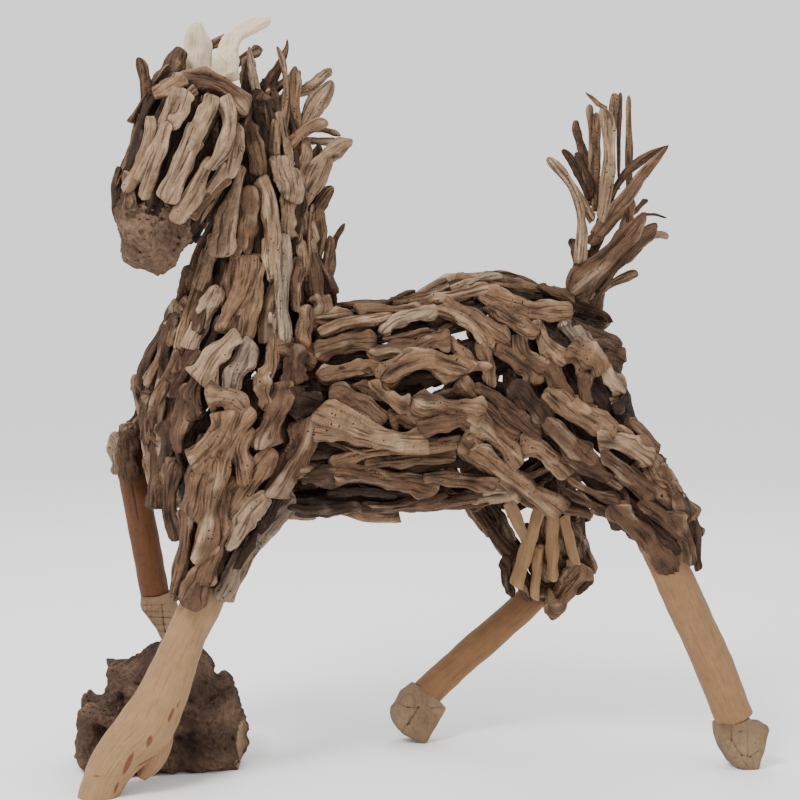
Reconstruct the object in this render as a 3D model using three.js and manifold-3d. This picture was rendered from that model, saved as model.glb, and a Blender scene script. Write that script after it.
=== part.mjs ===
// Driftwood horse statue: a horse on the move, its head turned to its left and its tail up.
// The body is a hollow shell of driftwood sticks. The legs are peeled posts with carved hooves,
// and the far forehoof rests on an eroded root block. Millimetres, +Z up, nose towards -X.
// Near is the horse's own left side, -Y, and far is its right side, +Y.
import * as THREE from "three";
import { mergeVertices } from "three/addons/utils/BufferGeometryUtils.js";
import Module from "manifold-3d";

const wasm = await Module();
wasm.setup();

// Driving dimensions. The free form is drawn for a statue 990 high, and PART scales it.
const STATUE_HEIGHT = 990; // floor to the tip of the far ear
const PART = STATUE_HEIGHT / 990;
const GAP = 0.3; // clearance between pieces that touch
const STICK_WIDTH = 54 * PART; // a body stick, across its face
const STICK_THICKNESS = 17 * PART; // a body stick, in and out
const STICK_LENGTH = 160 * PART;
const ROW_PITCH = 0.7; // rows of sticks lie this share of a stick's width apart
const END_PITCH = 0.95; // and sticks in a row this share of their length
const SPIKE_ROOT = 46 * PART; // how much of a mane or tail stick is hidden among the others
const TRUNK_WIDTH = 53 * PART; // peeled trunk of the near foreleg, at its top
const FAR_FORELEG_DIAMETER = 39 * PART;
const NEAR_HINDLEG_DIAMETER = 52 * PART;
const FAR_HINDLEG_DIAMETER = 43 * PART;
const HOOF_WIDTH = 50 * PART; // a carved hoof, from side to side
const HOOF_ROUND = 7 * PART; // and how far its edges are rounded
const EAR_THICKNESS = 9 * PART;
const BLOCK_LENGTH = 238 * PART;
const BLOCK_DEPTH = 165 * PART;
const BLOCK_HEIGHT = 174 * PART;

const at = (x, y, z) => new THREE.Vector3(x, y, z).multiplyScalar(PART);
const degrees = THREE.MathUtils.degToRad;

// The same scatter for the same whole number, between 0 and 1.
function scatter(k) {
  const wave = Math.sin(k * 12.9898) * 43758.5453;
  return wave - Math.floor(wave);
}

// A closed solid from a geometry: corners merged, slivers at the poles dropped, faces out.
function solidOf(geometry) {
  const bare = new THREE.BufferGeometry();
  bare.setAttribute("position", geometry.getAttribute("position"));
  bare.setIndex(geometry.index);
  const merged = mergeVertices(bare, 1e-3);
  const vertProperties = Float32Array.from(merged.getAttribute("position").array);
  const corners = merged.index.array;
  const outward = [];
  const inward = [];
  for (let i = 0; i < corners.length; i += 3) {
    const [a, b, c] = [corners[i], corners[i + 1], corners[i + 2]];
    if (a === b || b === c || c === a) continue;
    outward.push(a, b, c);
    inward.push(a, c, b);
  }
  const make = (triangles) =>
    new wasm.Manifold(
      new wasm.Mesh({ numProp: 3, vertProperties, triVerts: Uint32Array.from(triangles) }),
    );
  const solid = make(outward);
  return solid.volume() > 0 ? solid : make(inward);
}

// A three.js geometry from a solid.
function geometryOf(solid) {
  const mesh = solid.getMesh();
  const geometry = new THREE.BufferGeometry();
  geometry.setAttribute("position", new THREE.BufferAttribute(mesh.vertProperties, 3));
  geometry.setIndex(new THREE.BufferAttribute(mesh.triVerts, 1));
  geometry.computeVertexNormals();
  return geometry;
}

// A spindle turned from a profile of [share of length, share of radius], flattened to a width
// and a thickness, and bent along a path with its flat side facing one way.
function bentSpindle({ profile, sides, path, facing, width, thickness, grow = 0 }) {
  const outline = profile.map(([share, radius]) => new THREE.Vector2(radius, share));
  const spindle = new THREE.LatheGeometry(outline, sides, degrees(180 / sides));
  const corners = spindle.getAttribute("position");
  const turns = [...Array(sides).keys()].map((i) => degrees((180 + 360 * i) / sides));
  const widest = Math.max(...turns.map(Math.sin));
  const highest = Math.max(...turns.map(Math.cos));
  const spread = sides === 3 ? 3 : 1; // the sloping sides of a three-sided stick clear only so
  const point = new THREE.Vector3();
  for (let i = 0; i < corners.count; i++) {
    const share = corners.getY(i);
    const along = path.getTangent(share);
    const out = facing.clone().addScaledVector(along, -facing.dot(along)).normalize();
    const across = new THREE.Vector3().crossVectors(along, out);
    const halfWidth = (width(share) / 2 + grow * spread) / widest;
    const halfThickness = (thickness(share) / 2 + grow) / highest;
    point.copy(path.getPoint(share));
    point.addScaledVector(along, (share - 0.5) * 2 * grow);
    point.addScaledVector(across, corners.getX(i) * halfWidth);
    point.addScaledVector(out, corners.getZ(i) * halfThickness);
    corners.setXYZ(i, point.x, point.y, point.z);
  }
  return solidOf(spindle);
}

// A driftwood stick: worn blunt at both ends, thickest at its waist.
function stick({ from, to, via, facing, width, thickness, sides = 3, grow = 0 }) {
  const middle = via ?? from.clone().lerp(to, 0.5);
  const control = middle.clone().multiplyScalar(2);
  control.addScaledVector(from, -0.5).addScaledVector(to, -0.5);
  const worn = [[0, 0], [0.1, 0.85], [0.9, 0.7], [1, 0]];
  return bentSpindle({
    profile: worn,
    sides,
    path: new THREE.QuadraticBezierCurve3(from, control, to),
    facing,
    width: () => width,
    thickness: () => thickness,
    grow,
  });
}

// A round post with sawn ends through a few centres, each with its own share of the diameter.
function post({ centres, shares, diameter, facing, sides = 12, grow = 0 }) {
  const path = new THREE.CatmullRomCurve3(centres.map((c) => at(...c)), false, "catmullrom");
  const last = shares.length - 1;
  const size = (share) => {
    const place = Math.min(share * last, last - 1e-6);
    const step = Math.floor(place);
    return diameter * THREE.MathUtils.lerp(shares[step], shares[step + 1], place - step);
  };
  const rings = shares.map((_, i) => [i / last, 1]);
  return bentSpindle({
    profile: [[0, 0], ...rings, [1, 0]],
    sides,
    path,
    facing,
    width: size,
    thickness: size,
    grow,
  });
}

// A carved hoof: its side outline sawn from a board as thick as the hoof is wide, edges rounded.
function hoof({ outline, y, grow = 0 }) {
  const side = new THREE.Shape(outline.map(([x, z]) => new THREE.Vector2(x * PART, z * PART)));
  const board = new THREE.ExtrudeGeometry(side, {
    depth: HOOF_WIDTH - 2 * HOOF_ROUND + 2 * grow,
    bevelThickness: HOOF_ROUND,
    bevelSize: HOOF_ROUND,
    bevelOffset: grow - HOOF_ROUND,
    bevelSegments: 2,
  });
  board.rotateX(degrees(90));
  board.translate(0, y * PART + HOOF_WIDTH / 2 - HOOF_ROUND + grow, 0);
  board.setIndex([...Array(board.getAttribute("position").count).keys()]);
  return solidOf(board);
}

// What lies on the floor is sawn flat there.
function sawnAtFloor(solid) {
  const ground = new THREE.BoxGeometry(2 * STATUE_HEIGHT, 2 * STATUE_HEIGHT, 200);
  ground.translate(0, 0, -100);
  return solid.subtract(solidOf(ground));
}

// A body form: elliptical stations of [x, y, z, half width, half depth] along a smooth path.
// Angle 0 points to the far side and 180 to the near side.
class Form {
  constructor(stations, side = new THREE.Vector3(0, 1, 0)) {
    const centres = stations.map(([x, y, z]) => at(x, y, z));
    const halves = stations.map(([, , , width, depth]) => at(width, depth, 0));
    this.path = new THREE.CatmullRomCurve3(centres, false, "catmullrom");
    this.halves = new THREE.CatmullRomCurve3(halves, false, "catmullrom");
    this.side = side;
  }

  axes(t) {
    const along = this.path.getTangent(t);
    const side = this.side.clone().addScaledVector(along, -this.side.dot(along)).normalize();
    return { along, side, deep: new THREE.Vector3().crossVectors(along, side) };
  }

  // The point of the surface at a share of the path and an angle round it.
  surface(t, angle) {
    const { side, deep } = this.axes(t);
    const { x: halfWidth, y: halfDepth } = this.halves.getPoint(t);
    return this.path
      .getPoint(t)
      .addScaledVector(side, halfWidth * Math.cos(degrees(angle)))
      .addScaledVector(deep, halfDepth * Math.sin(degrees(angle)));
  }

  normal(t, angle) {
    const before = Math.max(t - 0.01, 0);
    const after = Math.min(t + 0.01, 1);
    const along = this.surface(after, angle).sub(this.surface(before, angle));
    const around = this.surface(t, angle + 2).sub(this.surface(t, angle - 2));
    const out = around.cross(along).normalize();
    const away = this.surface(t, angle).sub(this.path.getPoint(t));
    return out.dot(away) < 0 ? out.negate() : out;
  }

  // How long a line of the surface is, along the form or round it.
  length(pointAt) {
    let total = 0;
    for (let i = 0; i < 12; i++) total += pointAt(i / 12).distanceTo(pointAt((i + 1) / 12));
    return total;
  }

  // Whether a point lies well within the form.
  holds(point, share = 0.9) {
    for (let i = 0; i <= 30; i++) {
      const { along, side, deep } = this.axes(i / 30);
      const halves = this.halves.getPoint(i / 30);
      const away = point.clone().sub(this.path.getPoint(i / 30));
      if (Math.abs(away.dot(along)) > STICK_THICKNESS) continue;
      if (Math.hypot(away.dot(side) / halves.x, away.dot(deep) / halves.y) < share) return true;
    }
    return false;
  }
}

const FORMS = {
  breast: new Form([
    [-268, 0, 335, 40, 55], [-255, 0, 383, 72, 86], [-235, 0, 440, 92, 116], [-218, 0, 500, 97, 130],
    [-204, 0, 560, 88, 117], [-193, 0, 620, 72, 100], [-190, -2, 685, 57, 76], [-189, -10, 760, 46, 56],
    [-208, -17, 840, 42, 56], [-230, -25, 900, 37, 44],
  ]),
  barrel: new Form([
    [-230, 0, 478, 88, 112], [-175, 0, 479, 102, 135], [-75, 0, 482, 107, 136], [25, 0, 484, 110, 138],
    [100, 0, 503, 112, 153], [165, 0, 521, 110, 142], [222, 0, 538, 95, 113], [266, 0, 552, 70, 76],
    [292, 0, 552, 35, 38],
  ]),
  nearShoulder: new Form([
    [-200, -50, 610, 35, 60], [-215, -65, 525, 50, 100], [-225, -75, 450, 52, 102],
    [-242, -82, 370, 42, 75], [-262, -87, 305, 36, 50], [-280, -90, 250, 30, 34],
  ]),
  farShoulder: new Form([
    [-210, 50, 590, 35, 60], [-235, 65, 510, 50, 90], [-268, 72, 455, 47, 75],
    [-315, 75, 432, 37, 47], [-352, 75, 425, 30, 32],
  ]),
  nearHaunch: new Form([
    [150, -50, 610, 40, 60], [184, -65, 535, 57, 84], [228, -77, 465, 60, 76],
    [279, -90, 400, 48, 60], [332, -100, 338, 36, 44], [370, -107, 284, 28, 27],
  ]),
  farHaunch: new Form([
    [150, 50, 600, 40, 60], [160, 65, 500, 57, 105], [185, 77, 415, 60, 100],
    [220, 87, 330, 43, 73], [252, 95, 265, 38, 46], [276, 100, 216, 31, 35],
  ]),
  head: new Form(
    [
      [-260, -36, 912, 44, 50], [-281, -44, 868, 60, 74], [-303, -58, 800, 54, 72],
      [-328, -73, 735, 44, 60], [-336, -80, 690, 36, 42],
    ],
    new THREE.Vector3(-Math.sin(degrees(30)), Math.cos(degrees(30)), 0),
  ),
};

// Sticks laid side by side round a part of a form and end to end along it.
function cladding({
  form, angles, span, seed, width = STICK_WIDTH, length = STICK_LENGTH, within = [],
}) {
  const [first, last] = angles;
  const [start, end] = span;
  const middle = (start + end) / 2;
  const arc = form.length((s) => form.surface(middle, first + (last - first) * s));
  const rows = Math.max(1, Math.round(arc / (width * ROW_PITCH)));
  const sticks = [];
  for (let row = 0; row < rows; row++) {
    const angle = first + ((last - first) * (row + 0.5)) / rows;
    const run = form.length((s) => form.surface(start + (end - start) * s, angle));
    const count = Math.max(1, Math.round(run / (length * END_PITCH)));
    const stagger = (row % 2 ? 0.22 : -0.22) / count;
    for (let k = 0; k < count; k++) {
      const key = seed * 100 + row * 10 + k;
      const centre = start + (end - start) * ((k + 0.5) / count + stagger);
      const halfRun = ((end - start) / count) * (0.5 + 0.1 * scatter(key));
      const from = Math.max(centre - halfRun, 0.005);
      const to = Math.min(centre + halfRun, 0.995);
      const skew = ((scatter(key + 0.3) - 0.5) * 100 * width) / Math.max(arc, 3 * width);
      const halfway = (from + to) / 2;
      const facing = form.normal(halfway, angle);
      const lift = STICK_THICKNESS * (0.6 * scatter(key + 0.6) - 0.6);
      const waist = form.surface(halfway, angle).addScaledVector(facing, lift);
      if (within.some((other) => other.holds(waist))) continue;
      const foot = form.surface(from, angle - skew);
      const tip = form.surface(to, angle + skew);
      foot.addScaledVector(form.normal(from, angle - skew), lift - STICK_THICKNESS * 0.15);
      tip.addScaledVector(form.normal(to, angle + skew), lift + STICK_THICKNESS * 0.1);
      sticks.push({
        from: foot,
        to: tip,
        via: waist,
        facing,
        width: width * (0.85 + 0.4 * scatter(key + 0.8)),
        thickness: STICK_THICKNESS * (0.85 + 0.3 * scatter(key + 0.9)),
      });
    }
  }
  return sticks;
}

// One stick by its two ends, with a bow across its length as a share of it.
function reach(from, to, width, bow = 0, flatness = 0.7) {
  const ends = [at(...from), at(...to)];
  const length = ends[0].distanceTo(ends[1]);
  const across = ends[1].clone().sub(ends[0]).cross(new THREE.Vector3(0, 1, 0)).normalize();
  return {
    from: ends[0],
    to: ends[1],
    via: ends[0].clone().lerp(ends[1], 0.5).addScaledVector(across, bow * length),
    facing: new THREE.Vector3(-0.2, -1, 0.05).normalize(),
    width: width * PART,
    thickness: width * flatness * PART,
    sides: 4,
  };
}

// Sticks of the mane or tail from a list of where each one shows, from its foot to its tip. Each
// goes on past its foot among the sticks that hold it.
function spikes(list) {
  return list.map(([foot, tip, width, bow]) => {
    const root = at(...tip).sub(at(...foot)).setLength(SPIKE_ROOT / PART);
    const buried = [foot[0] - root.x, foot[1] - root.y, foot[2] - root.z];
    return reach(buried, tip, width, bow);
  });
}

// Mane: foot, tip, width and bow
const MANE_TOP = [
  [[-227, -30, 905], [-192, -20, 956], 15], [[-181, -45, 806], [-212, -50, 952], 17],
  [[-196, -10, 896], [-155, 0, 970], 20], [[-185, -30, 850], [-174, -35, 956], 17],
  [[-170, -20, 850], [-147, -15, 933], 20], [[-180, 15, 870], [-147, 25, 931], 14],
  [[-180, 5, 860], [-92, 20, 940], 15], [[-170, -10, 830], [-97, -5, 915], 24],
];
const MANE_MIDDLE = [
  [[-175, -45, 757], [-109, -40, 860], 25, -0.2], [[-150, 15, 810], [-61, 25, 845], 14],
  [[-150, -5, 790], [-74, 0, 838], 21], [[-150, -25, 760], [-115, -25, 833], 20],
  [[-160, -45, 700], [-108, -35, 808], 23], [[-150, -25, 690], [-96, -20, 776], 22],
];
const MANE_FOOT = [
  [[-120, 5, 670], [-73, 15, 732], 14], [[-130, -40, 600], [-102, -30, 712], 17],
  [[-118, 0, 610], [-89, 10, 694], 17], [[-150, -30, 640], [-110, -30, 745], 20],
  [[-140, 22, 640], [-100, 24, 700], 18],
];

// Tail: foot, tip, width and bow
const TAIL_FRONT = [
  [[247, -25, 681], [196, -45, 820], 18, 0.15], [[249, 10, 677], [245, 15, 715], 16],
  [[256, 0, 720], [236, 10, 836], 20], [[270, 20, 760], [261, 35, 877], 14],
  [[265, -20, 740], [259, -25, 902], 17], [[266, -40, 700], [266, -55, 886], 22],
  [[262, -10, 650], [250, -15, 770], 26],
];
const TAIL_BACK = [
  [[292, -10, 740], [307, -5, 913], 15], [[300, 10, 700], [334, 20, 916], 15],
  [[285, -20, 730], [363, -30, 831], 15], [[264, -40, 690], [368, -50, 842], 19],
  [[300, 25, 700], [372, 45, 772], 15], [[235, -15, 650], [336, -40, 748], 29],
  [[310, 20, 690], [404, 40, 724], 16, -0.15], [[275, -25, 655], [354, -45, 729], 22],
  [[260, 0, 607], [294, 0, 671], 23], [[285, 12, 635], [350, 30, 672], 17],
  [[275, 5, 690], [315, 0, 800], 24],
];

// The muzzle and the block are knotted root: a ball pushed out and in by slow waves.
function rootLump({ centre, halves, boxiness, knots, detail, grow = 0, trim = (p) => p }) {
  const ball = new THREE.SphereGeometry(1, detail * 2, detail);
  const corners = ball.getAttribute("position");
  for (let i = 0; i < corners.count; i++) {
    const p = new THREE.Vector3().fromBufferAttribute(corners, i);
    const norm = Math.abs(p.x) ** boxiness + Math.abs(p.y) ** boxiness + Math.abs(p.z) ** boxiness;
    p.multiplyScalar(norm ** (-1 / boxiness));
    const slow = Math.sin(4.1 * p.x + 2) * Math.sin(3.7 * p.y + 5 * p.z);
    const quick = Math.sin(7 * p.z - 5 * p.x + 3 * p.y);
    p.multiplyScalar(1 + knots * (slow + 0.6 * quick));
    trim(p);
    p.multiply(halves.clone().addScalar(grow)).add(centre);
    corners.setXYZ(i, p.x, p.y, p.z);
  }
  return solidOf(ball);
}

const peeled = { color: 0xb8966f, roughness: 0.62 };
const shaded = { color: 0x96653f, roughness: 0.6 };
const carved = { color: 0xb9ab97, roughness: 0.8 };
const bleached = { color: 0xcfc6b8, roughness: 0.75 };
const weathered = { color: 0x8b6f59, roughness: 0.85 };
const eroded = { color: 0x5b4638, roughness: 0.95 };
const NEARWARDS = new THREE.Vector3(0, -1, 0);

function nearForelegTrunk(grow) {
  const trunk = post({
    centres: [[-262, -80, 330], [-276, -83, 250], [-299, -84, 198], [-330, -85, 122], [-352, -86, 84],
      [-384, -86, 50], [-402, -86, 22], [-416, -86, -12]],
    shares: [1, 1, 0.97, 1.2, 1.36, 1.14, 1.02, 0.9],
    diameter: TRUNK_WIDTH,
    facing: NEARWARDS,
    grow,
  });
  const heel = post({
    centres: [[-338, -80, 100], [-337, -76, 62], [-343, -74, 30], [-352, -74, 17]],
    shares: [0.8, 0.72, 0.46, 0.2],
    diameter: TRUNK_WIDTH,
    facing: NEARWARDS,
    sides: 8,
    grow,
  });
  return sawnAtFloor(trunk.add(heel));
}

const farForelegPost = (grow) =>
  post({
    centres: [[-358, 75, 425], [-351, 75, 373], [-325, 75, 226]],
    shares: [0.96, 1, 1],
    diameter: FAR_FORELEG_DIAMETER,
    facing: NEARWARDS,
    grow,
  });

const nearHindlegPost = (grow) =>
  post({
    centres: [[318, -98, 332], [350, -108, 262], [404, -124, 140], [433, -134, 62]],
    shares: [0.9, 1, 1.02, 1],
    diameter: NEAR_HINDLEG_DIAMETER,
    facing: NEARWARDS,
    grow,
  });

const farHindlegPost = (grow) =>
  post({
    centres: [[275, 98, 258], [202, 99, 184], [104, 100, 104], [60, 100, 66]],
    shares: [0.9, 1, 1, 0.98],
    diameter: FAR_HINDLEG_DIAMETER,
    facing: NEARWARDS,
    grow,
  });

const farForehoof = (grow) =>
  hoof({
    outline: [[-346, 226], [-345, 211], [-338, 200], [-328, 189], [-314, 162], [-303, 166], [-296, 190],
      [-297, 214], [-304, 234]],
    y: 75,
    grow,
  });

const nearHindHoof = (grow) =>
  sawnAtFloor(
    hoof({
      outline: [[406, 60], [408, 38], [428, 5], [448, -5], [461, -4], [474, 54], [460, 60], [452, 72],
        [424, 68]],
      y: -136,
      grow,
    }),
  );

const farHindHoof = (grow) =>
  sawnAtFloor(
    hoof({
      outline: [[28, 72], [12, 44], [19, 23], [46, -3], [60, -3], [89, 46], [74, 62], [54, 82]],
      y: 100,
      grow,
    }),
  );

function rootBlock(grow) {
  const halves = new THREE.Vector3(BLOCK_LENGTH / 2, BLOCK_DEPTH / 2, BLOCK_HEIGHT);
  const stepped = (p) => {
    const shoulder = THREE.MathUtils.smoothstep(Math.abs(p.x + 0.08), 0.55, 0.95);
    p.z = Math.max(p.z, -0.02) * (1 - 0.42 * shoulder) * 0.93;
    return p;
  };
  const lump = rootLump({
    centre: at(-318, 62, 0),
    halves,
    boxiness: 3.2,
    knots: 0.055,
    detail: 13,
    grow,
    trim: stepped,
  });
  return sawnAtFloor(lump);
}

const muzzle = (grow) =>
  rootLump({
    centre: at(-338, -80, 708),
    halves: at(46, 40, 48),
    boxiness: 2.4,
    knots: 0.06,
    detail: 9,
    grow,
  });

// The pieces in the order they are fitted: each later one is cut back to clear those before it.
const pieces = [
  ["near_foreleg_trunk", peeled, nearForelegTrunk],
  ["far_foreleg_post", shaded, farForelegPost],
  ["near_hindleg_post", peeled, nearHindlegPost],
  ["far_hindleg_post", peeled, farHindlegPost],
  ["far_forehoof", carved, farForehoof],
  ["near_hind_hoof", carved, nearHindHoof],
  ["far_hind_hoof", carved, farHindHoof],
  ["root_block", eroded, rootBlock],
  ["muzzle", eroded, muzzle],
];

const bundle = (sticks) => (grow) =>
  wasm.Manifold.union(sticks.map((each) => stick({ ...each, grow })));
const addSticks = (name, look, sticks) => pieces.push([name, look, bundle(sticks)]);
const clad = (name, form, angles, span, seed, more) =>
  addSticks(name, weathered, cladding({ form, angles, span, seed, ...more }));

// Ears and brow
const earLike = (spec) => [{ ...spec, thickness: EAR_THICKNESS }];
addSticks("far_ear", bleached, earLike(reach([-277, 0, 915], [-268, 2, 990], 34)));
addSticks("near_ear", bleached, earLike(reach([-246, -64, 890], [-184, -58, 985], 26, 0.16)));
addSticks("brow", weathered, [reach([-314, -62, 904], [-216, -98, 852], 29, 0.16, 0.8)]);
addSticks("forelock_point", weathered, [reach([-335, -45, 845], [-350, -50, 934], 20)]);
addSticks("forelock", weathered, [reach([-322, -40, 870], [-291, -10, 962], 26)]);
addSticks("poll_stick", weathered, [reach([-262, -8, 900], [-236, 14, 950], 15)]);

// Head
const { head, breast, barrel, nearShoulder, farShoulder, nearHaunch, farHaunch } = FORMS;
const face = { length: 190 * PART, width: 31 * PART };
clad("nose", head, [240, 300], [0.12, 0.9], 1, face);
clad("near_cheek", head, [155, 240], [0.12, 0.9], 2, face);
clad("far_cheek", head, [-60, 35], [0.12, 0.9], 3, face);
clad("jaw", head, [35, 155], [0.05, 0.8], 4, face);

// Neck, breast and shoulders
addSticks("near_shoulder", weathered, [
  ...cladding({ form: nearShoulder, angles: [95, 262], span: [0.02, 0.97], seed: 5 }),
  reach([-286, -98, 330], [-290, -122, 236], 29),
  reach([-302, -92, 330], [-314, -100, 250], 24),
  reach([-262, -108, 340], [-268, -118, 258], 26),
]);
clad("far_shoulder", farShoulder, [-85, 85], [0.02, 0.9], 6, { within: [breast] });
clad("breast", breast, [25, 155], [0.02, 0.52], 7, { within: [nearShoulder, farShoulder] });
clad("throat", breast, [40, 130], [0.52, 0.95], 8);
clad("near_neck", breast, [115, 222], [0.46, 0.97], 9, { within: [nearShoulder] });
clad("far_neck", breast, [-32, 40], [0.5, 0.97], 10, { within: [farShoulder] });
const maneRoots = { form: breast, angles: [212, 328], length: 110 * PART, within: [barrel] };
const mane = (span, seed, list) => [...cladding({ ...maneRoots, span, seed }), ...spikes(list)];
addSticks("mane_top", weathered, mane([0.78, 0.99], 24, MANE_TOP));
addSticks("mane_middle", weathered, mane([0.66, 0.8], 25, MANE_MIDDLE));
addSticks("mane_foot", weathered, mane([0.5, 0.66], 26, MANE_FOOT));

// Barrel
const ribs = { within: [nearShoulder, farShoulder, nearHaunch, farHaunch, breast] };
clad("back", barrel, [55, 120], [0.05, 0.62], 12, ribs);
clad("near_upper_flank", barrel, [120, 180], [0.05, 0.62], 13, ribs);
clad("near_lower_flank", barrel, [180, 240], [0.05, 0.62], 14, ribs);
clad("belly", barrel, [240, 300], [0.05, 0.62], 15, ribs);
clad("far_lower_flank", barrel, [-60, 0], [0.05, 0.62], 16, ribs);
clad("far_upper_flank", barrel, [0, 55], [0.05, 0.62], 17, ribs);
clad("rump", barrel, [10, 170], [0.62, 0.98], 18, ribs);
clad("buttock", barrel, [170, 370], [0.7, 0.98], 19, ribs);

// Hindquarters
clad("near_haunch", nearHaunch, [80, 275], [0.02, 0.62], 20, { within: [barrel] });
clad("near_gaskin", nearHaunch, [0, 360], [0.6, 0.97], 21);
clad("far_haunch", farHaunch, [-95, 90], [0.02, 0.62], 22, { within: [barrel] });
clad("far_gaskin", farHaunch, [0, 360], [0.62, 0.97], 23);

// Tail
addSticks("tail_front", weathered, spikes(TAIL_FRONT));
addSticks("tail_back", weathered, spikes(TAIL_BACK));

// Knee, hock and elbow pieces
addSticks("far_knee", weathered, [
  reach([-372, 60, 452], [-338, 92, 446], 30), reach([-384, 74, 448], [-372, 74, 392], 26),
  reach([-366, 48, 452], [-358, 46, 388], 28), reach([-340, 56, 450], [-332, 56, 395], 26),
  reach([-336, 96, 450], [-330, 98, 400], 26), reach([-364, 102, 450], [-356, 104, 396], 28),
]);
addSticks("near_elbow", weathered, [
  reach([-158, -98, 374], [-266, -126, 258], 27), reach([-150, -84, 362], [-246, -112, 256], 20),
]);
addSticks("far_hock", weathered, [
  reach([240, 84, 244], [308, 100, 216], 40), reach([198, 76, 310], [252, 94, 226], 38),
  reach([166, 74, 316], [186, 86, 214], 30), reach([180, 84, 300], [212, 92, 214], 28),
  reach([222, 70, 338], [194, 86, 214], 17), reach([242, 72, 330], [242, 88, 200], 17),
  reach([271, 80, 314], [279, 98, 216], 17),
]);

const statue = new THREE.Group();
const fitted = [];
for (const [name, look, make] of pieces) {
  let solid = make(0);
  for (const earlier of fitted) {
    if (solid.intersect(earlier).isEmpty()) continue;
    solid = solid.subtract(earlier);
  }
  solid = solid.simplify(0.05);
  const whole = solid.decompose().sort((a, b) => b.volume() - a.volume())[0];
  const material = new THREE.MeshStandardMaterial({ ...look, metalness: 0 });
  const mesh = new THREE.Mesh(geometryOf(whole), material);
  mesh.name = name;
  statue.add(mesh);
  fitted.push(make(GAP));
}

// The origin is on the floor, under the middle of the statue's length and width.
const bounds = new THREE.Box3().setFromObject(statue);
statue.position.set(-(bounds.min.x + bounds.max.x) / 2, -(bounds.min.y + bounds.max.y) / 2, 0);

export default statue;
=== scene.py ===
"""Looks of the driftwood horse: every stick, post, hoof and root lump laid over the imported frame."""
import math

import bpy
import numpy as np
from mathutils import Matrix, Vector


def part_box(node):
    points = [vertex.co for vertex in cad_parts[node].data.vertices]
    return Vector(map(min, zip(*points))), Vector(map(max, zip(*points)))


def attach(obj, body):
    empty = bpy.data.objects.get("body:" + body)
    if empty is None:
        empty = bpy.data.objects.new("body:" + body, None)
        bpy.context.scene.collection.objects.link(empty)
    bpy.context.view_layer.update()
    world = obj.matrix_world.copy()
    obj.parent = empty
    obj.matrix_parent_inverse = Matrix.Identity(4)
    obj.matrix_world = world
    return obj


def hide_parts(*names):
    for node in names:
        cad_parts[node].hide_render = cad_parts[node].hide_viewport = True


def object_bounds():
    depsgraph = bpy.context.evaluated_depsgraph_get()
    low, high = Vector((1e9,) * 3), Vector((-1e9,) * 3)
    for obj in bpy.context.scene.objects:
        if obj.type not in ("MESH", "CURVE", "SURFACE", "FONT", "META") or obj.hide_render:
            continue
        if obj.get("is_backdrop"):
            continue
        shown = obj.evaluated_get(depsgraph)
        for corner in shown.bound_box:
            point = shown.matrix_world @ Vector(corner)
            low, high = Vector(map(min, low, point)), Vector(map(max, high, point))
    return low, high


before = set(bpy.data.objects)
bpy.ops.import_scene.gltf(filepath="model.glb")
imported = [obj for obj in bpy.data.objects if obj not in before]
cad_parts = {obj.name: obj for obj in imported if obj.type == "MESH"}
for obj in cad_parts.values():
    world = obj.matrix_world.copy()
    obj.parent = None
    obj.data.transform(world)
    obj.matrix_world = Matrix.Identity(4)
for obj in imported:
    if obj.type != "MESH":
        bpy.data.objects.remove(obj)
CAD_LOW, CAD_HIGH = (list(corner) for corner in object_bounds())

# The tables below are in millimetres in the maker's own frame, whose origin lies a little off the
# part's. The far forehoof, centred at x -321 and y 75 there, says by how much.
MM = 0.001
hoof_low, hoof_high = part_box("far_forehoof")
SHIFT = np.array([
    (hoof_low.x + hoof_high.x) / 2 + 321 * MM,
    (hoof_low.y + hoof_high.y) / 2 - 75 * MM,
    0.0,
])


def place(points):
    """Points of the tables in metres in the part's frame: millimetres times 0.001 plus the shift."""
    return np.asarray(points, float) * MM + SHIFT


def unit(vectors):
    """Each vector divided by its own length."""
    return vectors / np.maximum(np.linalg.norm(vectors, axis=-1, keepdims=True), 1e-12)


def curve_at(points, shares):
    """The uniform Catmull-Rom curve through the rows of points, its end points reflected: at each
    share of the parameter, half of (2b + (c-a)w + (2a-5b+4c-d)w2 + (3b-a-3c+d)w3)."""
    points = np.asarray(points, float)
    padded = np.vstack([2 * points[0] - points[1], points, 2 * points[-1] - points[-2]])
    u = np.clip(shares, 0, 1) * (len(points) - 1)
    i = np.minimum(u.astype(int), len(points) - 2)
    w = (u - i)[..., None]
    a, b, c, d = padded[i], padded[i + 1], padded[i + 2], padded[i + 3]
    return 0.5 * (2 * b + (c - a) * w + (2 * a - 5 * b + 4 * c - d) * w**2 + (3 * b - a - 3 * c + d) * w**3)


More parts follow.
